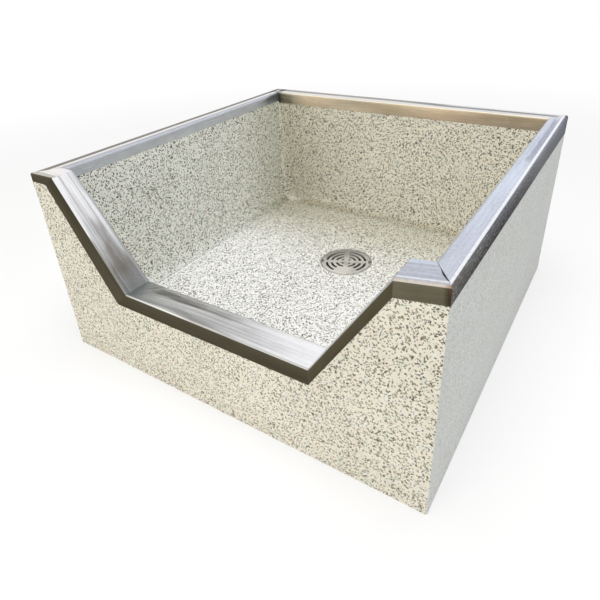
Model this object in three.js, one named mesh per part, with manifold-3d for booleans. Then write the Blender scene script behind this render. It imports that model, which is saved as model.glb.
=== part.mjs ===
// Precast terrazzo mop service sink with a drop front and folded stainless curb caps.
// Millimetres, +Z up. Origin: centre of the underside. The drop front faces -Y.
import * as THREE from 'three';
import { mergeVertices } from 'three/addons/utils/BufferGeometryUtils.js';
import Module from 'manifold-3d';

const wasm = await Module();
wasm.setup();

// ---------- driving dimensions ----------
// casting
const sinkWidth = 609.6; // left face to right face
const sinkDepth = 609.6; // front face to back face
const sinkHeight = 304.8; // floor to the top of the caps
const sideCurb = 26.7; // left and right curbs at the top
const backCurb = 34; // back curb at the top
const frontCurb = 35; // front curb at shoulder height
const wallDraftAngle = 3.8; // degrees that the basin walls lean out of the vertical
const floorEdgeHeight = 62; // basin floor where it meets the wall coves
const floorCove = 19; // radius between wall and floor
const cornerCoveTop = 3; // upright inside corners, at the caps
const cornerCoveBottom = 26; // upright inside corners, at the floor

// drop front
const sillHeight = 144.8; // top of the lowered threshold
const leftShoulderRun = 50.8; // left face to the start of the left slope
const leftSlopeRun = 101.6; // how far the left slope reaches sideways
const rightShoulderRun = 53.3;
const rightSlopeRun = 97.8;
const rightShoulderFall = 8.5; // the right shoulder dips towards the opening

// caps
const capSheet = 0.95; // 20 gauge stainless sheet
const wallBend = 5; // outer radius of the folds on the side and back caps
const frontBend = 3; // outer radius of the folds along the front
const sideSkirtFront = 22; // outer skirt of the side walls at the front, deeper to the back
const backSkirt = 32; // outer skirt of the back wall, and of the side walls where they meet it
const sideInnerSkirt = 19; // inner skirt on the left and right walls
const backInnerSkirt = 23.5; // inner skirt on the back wall
const leftShoulderSkirt = 13.2; // outer skirt of the left shoulder
const sillSkirt = 22.8; // skirt of the threshold
const rightShoulderSkirt = 20.8;
const leftSlopeTopShift = 20.3; // sideways shift of the left mitre, foot against top edge
const leftSlopeFootShift = 22.9;

// drain
const drainBack = 70; // drain centre behind the middle of the sink
const drainRimHeight = 50.8; // strainer level
const strainerRadius = 46;
const strainerPlate = 2.6;
const drainRimWall = 1.8;
const seatWidth = 5.4; // ledge that carries the strainer
const seatLedge = 3;
const throatDepth = 9; // straight part below the ledge
const hubBore = 53.7; // radius of the socket for the pipe seal
const hubWall = 3;
const hubShoulder = 5; // height of the cone between throat and socket
const hubSetback = 2; // socket end above the underside
const pipeRadius = 44.45; // three inch waste pipe, outside
const sealHeight = 24;
const sealLip = 3; // height of each lip of the seal
const sealWaist = 1.6; // groove depth between the lips

// strainer pattern
const slotRings = 4;
const slotPitch = 9.3;
const firstSlotRadius = 8.6;
const slotWidth = 4.6;
const crossBar = 8.5;
const shortRings = 2; // outer rings of slots that stop short of the front arm
const shortRingAngle = 34; // degrees from the front arm to where they stop
const liftNotchWidth = 10;
const liftNotchDepth = 4;
const strainerTurn = 24.5; // degrees, the strainer as it was last dropped in

// anchors
const anchorStrip = 1.5;
const anchorWidth = 12;
const anchorFlange = 14;
const anchorWeb = 30;
const anchorFoot = 14;
const sideAnchors = 3; // to each plain wall
const sillAnchors = 2;
const lugCount = 3;
const lugLength = 16;
const lugWidth = 14;
const lugThickness = 3;

// fits
const seatGap = 0.3; // between pieces that touch
const mitreGap = 0.3; // between neighbouring caps
const strainerPlay = 0.5; // strainer edge to rim
const cutOverrun = 2; // how far a cutting shape passes the surface it opens

// ---------- worked out once ----------
const halfWidth = sinkWidth / 2;
const halfDepth = sinkDepth / 2;
const lean = Math.tan(THREE.MathUtils.degToRad(wallDraftAngle));
const rimInner = strainerRadius + strainerPlay;
const rimOuter = rimInner + drainRimWall;
const seatHeight = drainRimHeight - seatGap - strainerPlate - seatGap;
const throatRadius = rimInner - seatWidth;
const hubOuter = hubBore + hubWall;
const hubTop = seatHeight - seatLedge - throatDepth;

// ---------- solids and meshes ----------
function toSolid(geometry) {
  const plain = geometry.clone();
  plain.deleteAttribute('normal');
  plain.deleteAttribute('uv');
  const merged = mergeVertices(plain, 1e-4);
  return new wasm.Manifold(new wasm.Mesh({
    numProp: 3,
    vertProperties: new Float32Array(merged.attributes.position.array),
    triVerts: new Uint32Array(merged.index.array),
  }));
}

function toGeometry(solid) {
  const mesh = solid.getMesh();
  const geometry = new THREE.BufferGeometry();
  geometry.setAttribute('position', new THREE.BufferAttribute(mesh.vertProperties, 3));
  geometry.setIndex(new THREE.BufferAttribute(mesh.triVerts, 1));
  return geometry;
}

const group = new THREE.Group();

function addNode(name, geometry, material) {
  const mesh = new THREE.Mesh(geometry, material());
  mesh.name = name;
  group.add(mesh);
  return mesh;
}

function extrudeUp(shape, height, curveSegments = 12) {
  return new THREE.ExtrudeGeometry(shape, { depth: height, bevelEnabled: false, curveSegments });
}

function lathe(points, segments) {
  const geometry = new THREE.LatheGeometry(points.map(([r, z]) => new THREE.Vector2(r, z)), segments);
  return geometry.rotateX(Math.PI / 2);
}

// A closed skin through loops of equal length; endFaces triangulates the two end loops.
function skin(loops, endFaces) {
  const count = loops[0].length;
  const last = (loops.length - 1) * count;
  const index = [];
  for (let row = 0; row < loops.length - 1; row += 1) {
    for (let i = 0; i < count; i += 1) {
      const a = row * count + i;
      const b = row * count + ((i + 1) % count);
      index.push(a, b, b + count, a, b + count, a + count);
    }
  }
  for (const [a, b, c] of endFaces) {
    index.push(a, c, b);
    index.push(last + a, last + b, last + c);
  }
  const geometry = new THREE.BufferGeometry();
  const points = loops.flat();
  geometry.setFromPoints(points);
  let volume = 0;
  for (let i = 0; i < index.length; i += 3) {
    const [a, b, c] = [points[index[i]], points[index[i + 1]], points[index[i + 2]]];
    volume += a.dot(new THREE.Vector3().crossVectors(b, c));
  }
  geometry.setIndex(volume < 0 ? index.reverse() : index);
  return geometry;
}

// ---------- materials ----------
function terrazzo() {
  return new THREE.MeshStandardMaterial({ color: 0xd8d5c6, roughness: 0.55, metalness: 0 });
}

function stainless() {
  return new THREE.MeshStandardMaterial({ color: 0xc3c6cc, roughness: 0.3, metalness: 1 });
}

function satinStainless() {
  return new THREE.MeshStandardMaterial({ color: 0xa9abae, roughness: 0.42, metalness: 1 });
}

function rubber() {
  return new THREE.MeshStandardMaterial({ color: 0x242424, roughness: 0.85, metalness: 0 });
}

// ---------- curb caps ----------
// The front curb follows these corners, from left to right. Each has the point of its top
// outer edge, the shift from there to the foot of its skirt and the way its top runs inwards.
// The right shoulder dips along its front fold and is one plane with the inner corner of the
// right wall's cap, so it tilts, and it meets the right slope along a slanting line.
const leftTop = -halfWidth + leftShoulderRun;
const rightTop = halfWidth - rightShoulderRun;
const level = new THREE.Vector3(0, 1, 0);
const shoulderRise = rightShoulderFall / rightShoulderRun;
const shoulderTilt = (shoulderRise * sideCurb) / frontCurb;
const slopeRise = (sinkHeight - rightShoulderFall - sillHeight) / rightSlopeRun;
const mitreRun = shoulderTilt / (slopeRise - shoulderRise);
const slanting = new THREE.Vector3(mitreRun, 1, mitreRun * slopeRise);
const frontCorners = [
  corner(leftTop, sinkHeight, -leftSlopeTopShift, leftShoulderSkirt, level),
  corner(leftTop + leftSlopeRun, sillHeight, -leftSlopeFootShift, sillSkirt, level),
  corner(rightTop - rightSlopeRun, sillHeight, 0, sillSkirt, level),
  corner(rightTop, sinkHeight - rightShoulderFall, 0, rightShoulderSkirt, slanting),
];

function corner(x, z, footX, skirt, inwards) {
  return { x, z, footX, footZ: -skirt, inwards };
}

function wallThickness(topThickness, height) {
  return topThickness + lean * (sinkHeight - height);
}

// Folded channel across a curb: a runs inwards over the top, depth runs down.
function channelProfile(fit) {
  const { width, outerFoot, innerFoot, innerLean, bend, sheet, overrun } = fit;
  const outside = -overrun;
  const bendSteps = 4;
  const points = [[outside, outerFoot]];
  const arc = (centre, radius, from, to) => {
    for (let i = 0; i <= bendSteps; i += 1) {
      const angle = from + ((to - from) * i) / bendSteps;
      points.push([centre - radius * Math.cos(angle), bend - radius * Math.sin(angle)]);
    }
  };
  if (overrun > 0) {
    points.push([outside, outside], [width + overrun, outside]);
    points.push([width + overrun + innerLean, innerFoot]);
  } else {
    arc(bend, bend, 0, Math.PI / 2);
    arc(width - bend, bend, Math.PI / 2, Math.PI);
    points.push([width + innerLean, innerFoot]);
  }
  points.push([width - sheet + innerLean, innerFoot]);
  arc(width - bend, bend - sheet, Math.PI, Math.PI / 2);
  arc(bend, bend - sheet, Math.PI / 2, 0);
  points.push([sheet, outerFoot]);
  return points.map(([a, depth]) => new THREE.Vector2(a, depth));
}

// One end of a cap: where its top outer edge is, which way the curb's top runs inwards, and
// how a depth is carried down to the foot of the skirt.
function station(origin, across, width, sink, footDrop) {
  return { origin, across, width, sink, footDrop };
}

function capGeometry(cap, recess) {
  const sheet = recess ? capSheet + seatGap : capSheet;
  const overrun = recess ? cutOverrun : 0;
  const extraFoot = recess ? seatGap : 0;
  const inset = recess ? -cutOverrun / 2 : mitreGap / 2;
  const along = cap.end.origin.clone().sub(cap.start.origin).normalize();
  const loops = [];
  let profile;
  for (const [end, direction] of [[cap.start, 1], [cap.end, -1]]) {
    profile = channelProfile({
      width: end.width,
      outerFoot: end.footDrop.outer + extraFoot,
      innerFoot: end.footDrop.inner + extraFoot,
      innerLean: lean * end.footDrop.inner,
      bend: cap.bend,
      sheet,
      overrun,
    });
    loops.push(profile.map((point) => end.origin.clone()
      .addScaledVector(along, inset * direction)
      .addScaledVector(end.across, point.x)
      .add(end.sink(point.y))));
  }
  return skin(loops, THREE.ShapeUtils.triangulateShape(profile, []));
}

function straightDown(depth) {
  return new THREE.Vector3(0, 0, -depth);
}

// Depth below a bend of the front curb: the sheet follows the bisector, the foot its own shift.
function bendDown(at, before, after) {
  const normal = (from, to) => {
    const run = new THREE.Vector3(to.x - from.x, 0, to.z - from.z).normalize();
    return new THREE.Vector3(run.z, 0, -run.x);
  };
  const first = normal(before, at);
  const second = normal(at, after);
  const bisector = first.clone().add(second).divideScalar(1 + first.dot(second));
  const foot = new THREE.Vector3(at.footX, 0, at.footZ);
  const footDepth = -at.footZ;
  return (depth) => {
    if (depth < footDepth) {
      return bisector.clone().multiplyScalar(depth);
    }
    return foot.clone().multiplyScalar(depth / footDepth);
  };
}

const outerCorner = {
  frontLeft: new THREE.Vector3(-halfWidth, -halfDepth, sinkHeight),
  frontRight: new THREE.Vector3(halfWidth, -halfDepth, sinkHeight),
  backLeft: new THREE.Vector3(-halfWidth, halfDepth, sinkHeight),
  backRight: new THREE.Vector3(halfWidth, halfDepth, sinkHeight),
};

const innerCorner = {
  frontLeft: new THREE.Vector3(-halfWidth + sideCurb, -halfDepth + frontCurb, sinkHeight),
  frontRight: new THREE.Vector3(halfWidth - sideCurb, -halfDepth + frontCurb, sinkHeight),
  backLeft: new THREE.Vector3(-halfWidth + sideCurb, halfDepth - backCurb, sinkHeight),
  backRight: new THREE.Vector3(halfWidth - sideCurb, halfDepth - backCurb, sinkHeight),
};

function cornerStation(place, width, outer, inner) {
  const across = innerCorner[place].clone().sub(outerCorner[place]).divideScalar(width);
  return station(outerCorner[place], across, width, straightDown, { outer, inner });
}

function frontStation(number) {
  const at = frontCorners[number];
  const before = frontCorners[number - 1] ?? { x: -halfWidth, z: sinkHeight };
  const after = frontCorners[number + 1] ?? { x: halfWidth, z: sinkHeight };
  const origin = new THREE.Vector3(at.x, -halfDepth, at.z);
  const drop = { outer: -at.footZ, inner: -at.footZ };
  const width = wallThickness(frontCurb, at.z);
  return station(origin, at.inwards, width, bendDown(at, before, after), drop);
}

const outerSkirt = {
  frontLeft: sideSkirtFront,
  frontRight: sideSkirtFront,
  backLeft: backSkirt,
  backRight: backSkirt,
};

function wallCap(name, from, to, width, innerSkirt, anchors) {
  return {
    name,
    start: cornerStation(from, width, outerSkirt[from], innerSkirt),
    end: cornerStation(to, width, outerSkirt[to], innerSkirt),
    bend: wallBend,
    anchors,
  };
}

function frontCap(name, start, end, anchors) {
  return { name, start, end, bend: frontBend, anchors };
}

const leftEnd = cornerStation('frontLeft', frontCurb, leftShoulderSkirt, leftShoulderSkirt);
const rightEnd = cornerStation('frontRight', frontCurb, rightShoulderSkirt, rightShoulderSkirt);
const caps = [
  wallCap('cap_left_wall', 'frontLeft', 'backLeft', sideCurb, sideInnerSkirt, sideAnchors),
  wallCap('cap_back_wall', 'backLeft', 'backRight', backCurb, backInnerSkirt, sideAnchors),
  wallCap('cap_right_wall', 'backRight', 'frontRight', sideCurb, sideInnerSkirt, sideAnchors),
  frontCap('cap_left_shoulder', leftEnd, frontStation(0), 1),
  frontCap('cap_left_slope', frontStation(0), frontStation(1), 1),
  frontCap('cap_threshold', frontStation(1), frontStation(2), sillAnchors),
  frontCap('cap_right_slope', frontStation(2), frontStation(3), 1),
  frontCap('cap_right_shoulder', frontStation(3), rightEnd, 1),
];

// ---------- cast-in anchors under the caps ----------
// A strip bent to a Z: flange under the cap, web down into the curb, foot at its end.
function anchorGeometry(grow) {
  const shape = new THREE.Shape([
    [-anchorFlange - grow, grow],
    [-anchorFlange - grow, -anchorStrip - grow],
    [-grow, -anchorStrip - grow],
    [-grow, -anchorWeb - grow],
    [anchorFoot + grow, -anchorWeb - grow],
    [anchorFoot + grow, -anchorWeb + anchorStrip + grow],
    [anchorStrip + grow, -anchorWeb + anchorStrip + grow],
    [anchorStrip + grow, grow],
  ].map(([x, y]) => new THREE.Vector2(x, y)));
  const width = anchorWidth + 2 * grow;
  return extrudeUp(shape, width).translate(0, 0, -width / 2);
}

// Places an anchor under the middle of the cap's top, a share of the way along it.
function anchorMatrix(cap, share) {
  const middle = (end) => end.origin.clone().addScaledVector(end.across, end.width / 2);
  const start = middle(cap.start);
  const end = middle(cap.end);
  const along = end.clone().sub(start).normalize();
  const across = cap.start.across.clone().lerp(cap.end.across, share);
  const up = along.clone().cross(across).normalize();
  if (up.z < 0) {
    up.negate();
  }
  const place = start.lerp(end, share).addScaledVector(up, -capSheet - seatGap);
  return new THREE.Matrix4().makeBasis(along, up, along.clone().cross(up)).setPosition(place);
}

function anchorShares(count) {
  return Array.from({ length: count }, (_, i) => (i + 0.5) / count);
}

function addCapsAndAnchors() {
  for (const cap of caps) {
    addNode(cap.name, capGeometry(cap, false), stainless);
    anchorShares(cap.anchors).forEach((share, i) => {
      const name = `${cap.name.replace('cap', 'anchor')}_${i + 1}`;
      const mesh = addNode(name, anchorGeometry(0), satinStainless);
      mesh.applyMatrix4(anchorMatrix(cap, share));
    });
  }
}

// ---------- basin hollow ----------
function roundedLoop(left, right, front, back, radius, height) {
  const arcSteps = 5;
  const sideSteps = 4;
  const corners = [
    [right - radius, back - radius, 0],
    [left + radius, back - radius, 1],
    [left + radius, front + radius, 2],
    [right - radius, front + radius, 3],
  ];
  const arcs = corners.map(([x, y, quarter]) => Array.from({ length: arcSteps + 1 }, (_, i) => {
    const angle = (quarter + i / arcSteps) * (Math.PI / 2);
    return new THREE.Vector3(x + radius * Math.cos(angle), y + radius * Math.sin(angle), height);
  }));
  const loop = [];
  arcs.forEach((arc, i) => {
    const next = arcs[(i + 1) % arcs.length][0];
    const last = arc[arcSteps];
    loop.push(...arc);
    for (let step = 1; step < sideSteps; step += 1) {
      loop.push(last.clone().lerp(next, step / sideSteps));
    }
  });
  return loop;
}

function basinLoop(height, inset, radius) {
  const side = wallThickness(sideCurb, height) + inset;
  const front = -halfDepth + wallThickness(frontCurb, height) + inset;
  const back = halfDepth - wallThickness(backCurb, height) - inset;
  return roundedLoop(-halfWidth + side, halfWidth - side, front, back, radius, height);
}

function basinHollow() {
  const coveSteps = 5;
  const loops = [basinLoop(sinkHeight + cutOverrun, 0, cornerCoveTop)];
  for (let i = 0; i <= coveSteps; i += 1) {
    const angle = ((Math.PI / 2) * i) / coveSteps;
    const inset = floorCove * (1 - Math.cos(angle));
    const height = floorEdgeHeight + floorCove * (1 - Math.sin(angle));
    loops.push(basinLoop(height, inset, cornerCoveBottom - inset));
  }
  const floorEdge = loops[loops.length - 1];
  const rim = rimOuter + seatGap;
  loops.push(floorEdge.map((point) => {
    const bearing = Math.atan2(point.y - drainBack, point.x);
    const x = rim * Math.cos(bearing);
    return new THREE.Vector3(x, drainBack + rim * Math.sin(bearing), drainRimHeight);
  }));
  const fan = floorEdge.slice(2).map((_, i) => [0, i + 1, i + 2]);
  return skin(loops, fan);
}

// ---------- drop front ----------
function dropFrontCut() {
  const deep = wallThickness(frontCurb, sillHeight - sillSkirt) + cutOverrun;
  const top = sinkHeight + cutOverrun + shoulderTilt * deep;
  const right = halfWidth + cutOverrun;
  const tilted = new THREE.Vector3(0, 1, shoulderTilt);
  const outline = [
    { x: leftTop, z: top, inwards: level },
    ...frontCorners,
    { x: right, z: sinkHeight + shoulderRise * cutOverrun, inwards: tilted },
    { x: right, z: top, inwards: level },
  ];
  const loops = [-cutOverrun, deep].map((reach) => outline.map(({ x, z, inwards }) => (
    new THREE.Vector3(x, -halfDepth, z).addScaledVector(inwards, reach)
  )));
  const section = outline.map(({ x, z }) => new THREE.Vector2(x, z));
  return skin(loops, THREE.ShapeUtils.triangulateShape(section, []));
}

// ---------- drain ----------
// The body's outside, from the rim down; grow opens the hole it is cast into.
function drainOutline(grow) {
  return [
    [rimOuter + grow, drainRimHeight - seatGap],
    [rimOuter + grow, hubTop],
    [hubOuter + grow, hubTop - hubShoulder],
    [hubOuter + grow, hubSetback],
  ];
}

const drainSegments = 48;

function drainBody() {
  const inside = [
    [hubBore, hubSetback],
    [hubBore, hubTop - hubShoulder],
    [throatRadius, hubTop],
    [throatRadius, seatHeight],
    [rimInner, seatHeight],
    [rimInner, drainRimHeight - seatGap],
  ];
  const profile = [...inside, ...drainOutline(0)].reverse();
  return lathe([...profile, profile[0]], drainSegments).translate(0, drainBack, 0);
}

function drainHole() {
  const profile = drainOutline(seatGap);
  profile[0][1] = drainRimHeight + cutOverrun;
  profile[profile.length - 1][1] = -cutOverrun;
  const points = [[0, profile[0][1]], ...profile, [0, -cutOverrun]];
  return lathe(points.reverse(), drainSegments).translate(0, drainBack, 0);
}

// Ring seal for the waste pipe: two lips grip the socket, the bore grips the pipe.
function pipeSeal() {
  const outer = hubBore - seatGap;
  const bottom = hubSetback;
  const top = bottom + sealHeight;
  const points = [
    [pipeRadius, bottom],
    [outer, bottom],
    [outer, bottom + sealLip],
    [outer - sealWaist, bottom + 2 * sealLip],
    [outer - sealWaist, top - 2 * sealLip],
    [outer, top - sealLip],
    [outer, top],
    [pipeRadius, top],
  ];
  return lathe([...points, points[0]], drainSegments).translate(0, drainBack, 0);
}

// One arc of a ring of slots, between two arms of the cross. The front arm runs between
// the last two quarters.
function slotCutter(ring, quarter) {
  const steps = 6;
  const radius = firstSlotRadius + ring * slotPitch;
  const inner = radius - slotWidth / 2;
  const outer = radius + slotWidth / 2;
  const stop = ring < slotRings - shortRings ? 0 : THREE.MathUtils.degToRad(shortRingAngle);
  const edge = (r, share) => {
    const arm = Math.asin(crossBar / 2 / r);
    const start = quarter === 3 ? Math.max(arm, stop) : arm;
    const end = quarter === 2 ? Math.max(arm, stop) : arm;
    const angle = (quarter * Math.PI) / 2 + start + share * (Math.PI / 2 - start - end);
    return new THREE.Vector2(r * Math.cos(angle), r * Math.sin(angle));
  };
  const points = [];
  for (let i = 0; i <= steps; i += 1) {
    points.push(edge(outer, i / steps));
  }
  for (let i = steps; i >= 0; i -= 1) {
    points.push(edge(inner, i / steps));
  }
  return extrudeUp(new THREE.Shape(points), strainerPlate + 2 * cutOverrun).translate(0, 0, -cutOverrun);
}

function strainerDisc() {
  const edge = strainerRadius;
  const half = Math.asin(liftNotchWidth / 2 / edge);
  const shape = new THREE.Shape();
  const floor = edge - liftNotchDepth;
  shape.moveTo(floor, liftNotchWidth / 2);
  shape.absarc(0, 0, edge, half, Math.PI - half, false);
  shape.lineTo(-floor, liftNotchWidth / 2);
  shape.lineTo(-floor, -liftNotchWidth / 2);
  shape.absarc(0, 0, edge, Math.PI + half, 2 * Math.PI - half, false);
  shape.lineTo(floor, -liftNotchWidth / 2);
  shape.closePath();
  return extrudeUp(shape, strainerPlate, 32);
}

function strainerGeometry() {
  let plate = toSolid(strainerDisc());
  for (let ring = 0; ring < slotRings; ring += 1) {
    for (let quarter = 0; quarter < 4; quarter += 1) {
      plate = plate.subtract(toSolid(slotCutter(ring, quarter)));
    }
  }
  return toGeometry(plate);
}

function lugGeometry(grow) {
  const length = lugLength + grow;
  const box = new THREE.BoxGeometry(length, lugWidth + 2 * grow, lugThickness + 2 * grow);
  return box.translate(hubOuter + seatGap + length / 2, 0, 0);
}

function lugMatrix(number) {
  const angle = ((number + 0.5) * 2 * Math.PI) / lugCount;
  const height = (hubSetback + hubTop) / 2;
  return new THREE.Matrix4().makeRotationZ(angle).setPosition(0, drainBack, height);
}

function addDrain() {
  addNode('drain_body', drainBody(), satinStainless);
  addNode('pipe_seal', pipeSeal(), rubber);
  const strainer = addNode('drain_strainer', strainerGeometry(), satinStainless);
  strainer.rotation.z = THREE.MathUtils.degToRad(strainerTurn);
  strainer.position.set(0, drainBack, seatHeight + seatGap);
  for (let i = 0; i < lugCount; i += 1) {
    const lug = addNode(`drain_anchor_lug_${i + 1}`, lugGeometry(0), satinStainless);
    lug.applyMatrix4(lugMatrix(i));
  }
}

// ---------- terrazzo casting ----------
function addBasin() {
  const block = new THREE.BoxGeometry(sinkWidth, sinkDepth, sinkHeight);
  const cuts = [basinHollow(), dropFrontCut(), drainHole()];
  for (const cap of caps) {
    cuts.push(capGeometry(cap, true));
    for (const share of anchorShares(cap.anchors)) {
      cuts.push(anchorGeometry(seatGap).applyMatrix4(anchorMatrix(cap, share)));
    }
  }
  for (let i = 0; i < lugCount; i += 1) {
    cuts.push(lugGeometry(seatGap).translate(-seatGap, 0, 0).applyMatrix4(lugMatrix(i)));
  }
  let casting = toSolid(block.translate(0, 0, sinkHeight / 2));
  for (const cut of cuts) {
    casting = casting.subtract(toSolid(cut));
  }
  addNode('terrazzo_basin', toGeometry(casting), terrazzo);
}

addBasin();
addCapsAndAnchors();
addDrain();

export default group;
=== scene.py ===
import math

import bmesh
import bpy
from mathutils import Matrix, Vector


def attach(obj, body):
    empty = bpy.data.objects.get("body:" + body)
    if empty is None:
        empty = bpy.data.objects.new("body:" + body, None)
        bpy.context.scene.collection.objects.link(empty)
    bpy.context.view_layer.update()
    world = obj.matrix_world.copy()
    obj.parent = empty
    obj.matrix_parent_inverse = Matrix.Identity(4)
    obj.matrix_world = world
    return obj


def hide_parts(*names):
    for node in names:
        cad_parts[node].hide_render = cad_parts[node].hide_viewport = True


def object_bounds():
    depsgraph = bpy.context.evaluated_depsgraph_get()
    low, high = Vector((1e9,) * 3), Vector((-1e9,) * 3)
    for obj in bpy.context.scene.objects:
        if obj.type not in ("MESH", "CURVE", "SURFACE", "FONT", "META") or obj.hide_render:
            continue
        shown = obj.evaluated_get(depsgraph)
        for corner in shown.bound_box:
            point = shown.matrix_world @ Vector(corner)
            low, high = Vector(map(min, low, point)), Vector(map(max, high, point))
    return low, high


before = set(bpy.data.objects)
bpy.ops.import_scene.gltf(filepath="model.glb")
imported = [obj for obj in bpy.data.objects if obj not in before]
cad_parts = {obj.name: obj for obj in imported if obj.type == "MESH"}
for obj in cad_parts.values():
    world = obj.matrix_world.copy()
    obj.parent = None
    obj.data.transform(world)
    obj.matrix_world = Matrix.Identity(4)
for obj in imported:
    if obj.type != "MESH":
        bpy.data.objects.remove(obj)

bl_info = {
    "name": "Terrazzo Mop Sink",
    "version": (1, 0, 0),
    "blender": (4, 5, 0),
    "location": "View3D > Sidebar > Mop Sink",
    "description": "Dresses the packed mop sink: terrazzo casting, folded caps, drain and stage",
    "category": "Object",
}

MM = 0.001
SINK = "sink"
STRAINER = "strainer"
OBJECT_LOW, OBJECT_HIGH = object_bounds()
SINK_MIDDLE = Vector((0, 0, 0.15))
FLOOR_SIZE = 40.0
FLOOR_FADE = (0.75, 2.2)  # metres from the sink's middle over which the floor turns white

SAME_PLACE = 1e-6  # points closer than this are one
OVERRUN = 2 * MM  # how far a cutting solid reaches past what it cuts
FOLD_STEPS = 8
CORNER_STEPS = 8
COVE_STEPS = 9
WALL_CUTS = 15
ROUND_STEPS = 96
PLATE_STEPS = 160
SLOT_STEPS = 6  # in a slot's arc: the fewest, and the number for a degree at one metre
SLOT_ENDS = 0.55  # rounding of a slot's ends, as a share of half its width
STEEL_WEAR, RUBBER_WEAR = 0.35 * MM, 0.6 * MM  # rounding of the drain's edges
CAP_STEP = 0.02  # between the cross cuts along a cap
CASTING_SMOOTH, CAP_SMOOTH, TURNED_SMOOTH = 32, 35, 50  # degrees; sharper edges stay sharp

# marble chips: cell size, half sizes in cells, seed, and the share of cells with a chip
DARK_CHIPS = (
    (0.0023, (0.46, 0.24, 0.32), 31.7, 0.40),
    (0.0032, (0.48, 0.20, 0.30), 11.3, 0.86),
    (0.0045, (0.50, 0.18, 0.30), 5.9, 0.90),
    (0.0080, (0.30, 0.16, 0.25), 15.7, 0.16),
    (0.0120, (0.15, 0.09, 0.12), 8.2, 0.30),
)
PALE_CHIPS = ((0.0072, 3.1, 0.62), (0.0115, 21.4, 0.5))  # cell size, seed, opacity
PALE_HALVES = (0.46, 0.34, 0.40)
WET_CHIP = (0.34, 0.34, 0.35)  # the dark chips are darker still inside the basin
BASIN_FOOT = (0.044, 0.046)  # fade between the drain's hole and the basin over it
# where a painted highlight brightens the back left cove of the basin
PAINTED_HIGHLIGHT_SPOT = (-0.238, 0.250, 0.070)


# ---------- values a user may change ----------
def length(label, millimetres, description):
    """A length in metres, written here in millimetres."""
    return bpy.props.FloatProperty(
        name=label, description=description, default=millimetres * MM, min=0.0,
        precision=4, subtype="DISTANCE", unit="LENGTH",
    )


def angle(label, degrees, description):
    return bpy.props.FloatProperty(
        name=label, description=description, default=math.radians(degrees),
        subtype="ANGLE", unit="ROTATION",
    )


def colour(label, value, description):
    return bpy.props.FloatVectorProperty(
        name=label, description=description, default=value, size=3, min=0.0, max=1.0,
        subtype="COLOR",
    )


def share(label, value, description):
    return bpy.props.FloatProperty(
        name=label, description=description, default=value, min=0.0, max=1.0, subtype="FACTOR",
    )


def power(label, watts, description):
    return bpy.props.FloatProperty(
        name=label, description=description, default=watts, min=0.0, unit="POWER",
    )


class CastingSizes(bpy.types.PropertyGroup):
    """The one-piece terrazzo casting."""

    width: length("Width", OBJECT_HIGH.x * 2 / MM, "Left face to right face")
    depth: length("Depth", OBJECT_HIGH.y * 2 / MM, "Front face to back face")
    height: length("Height", OBJECT_HIGH.z / MM, "Floor to the top of the caps")
    side_curb: length("Side curb", 26.7, "Left and right curbs at the top")
    back_curb: length("Back curb", 34, "Back curb at the top")
    front_curb: length("Front curb", 35, "Front curb at shoulder height")
    draft: angle("Wall draft", 3.8, "How far the basin walls lean out of the vertical")
    floor_edge: length("Floor edge", 62, "Height of the basin floor at the wall coves")
    cove: length("Floor cove", 19, "Radius between wall and floor")
    corner_top: length("Corner at the caps", 3, "Radius of the upright corners at the caps")
    corner_foot: length("Corner at the floor", 26, "Radius of the upright corners, low down")
    sill: length("Sill", 144.8, "Top of the lowered threshold")
    left_shoulder: length("Left shoulder", 50.8, "Left face to the start of the slope")
    left_slope: length("Left slope", 101.6, "How far the left slope reaches sideways")
    right_shoulder: length("Right shoulder", 53.3, "Right face to the start of the slope")
    right_slope: length("Right slope", 97.8, "How far the right slope reaches sideways")
    right_fall: length("Right shoulder fall", 8.5, "How far the right shoulder dips")
    edge_wear: length("Edge wear", 1.3, "Rounding of the outer edges of the casting")


class CapSizes(bpy.types.PropertyGroup):
    """The folded stainless caps on the curbs."""

    sheet: length("Sheet", 0.95, "Thickness of the stainless sheet")
    wall_bend: length("Wall bend", 5, "Outer radius of the folds on the side and back caps")
    front_bend: length("Front bend", 3, "Outer radius of the folds along the front")
    side_front: length("Side skirt, front", 22, "Outer skirt of the side walls at the front")
    back_skirt: length("Back skirt", 32, "Outer skirt of the back wall and its two corners")
    side_inner: length("Side inner skirt", 19, "Inner skirt on the left and right walls")
    back_inner: length("Back inner skirt", 23.5, "Inner skirt on the back wall")
    left_shoulder: length("Left shoulder skirt", 13.2, "Outer skirt of the left shoulder")
    sill: length("Threshold skirt", 22.8, "Skirts of the threshold")
    right_shoulder: length("Right shoulder skirt", 20.8, "Skirts of the right shoulder")
    left_top_shift: length("Left mitre shift", 20.3, "Foot of the upper left mitre, to the left")
    left_foot_shift: length("Sill mitre shift", 22.9, "Foot of the lower left mitre, to the left")
    gap: length("Mitre gap", 0.12, "Between neighbouring caps where they are welded")
    open_gap: length("Open mitre gap", 0.55, "At the right front mitre, where the weld has opened")
    clearance: length("Recess clearance", 0.3, "Between a cap and the terrazzo behind it")


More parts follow.
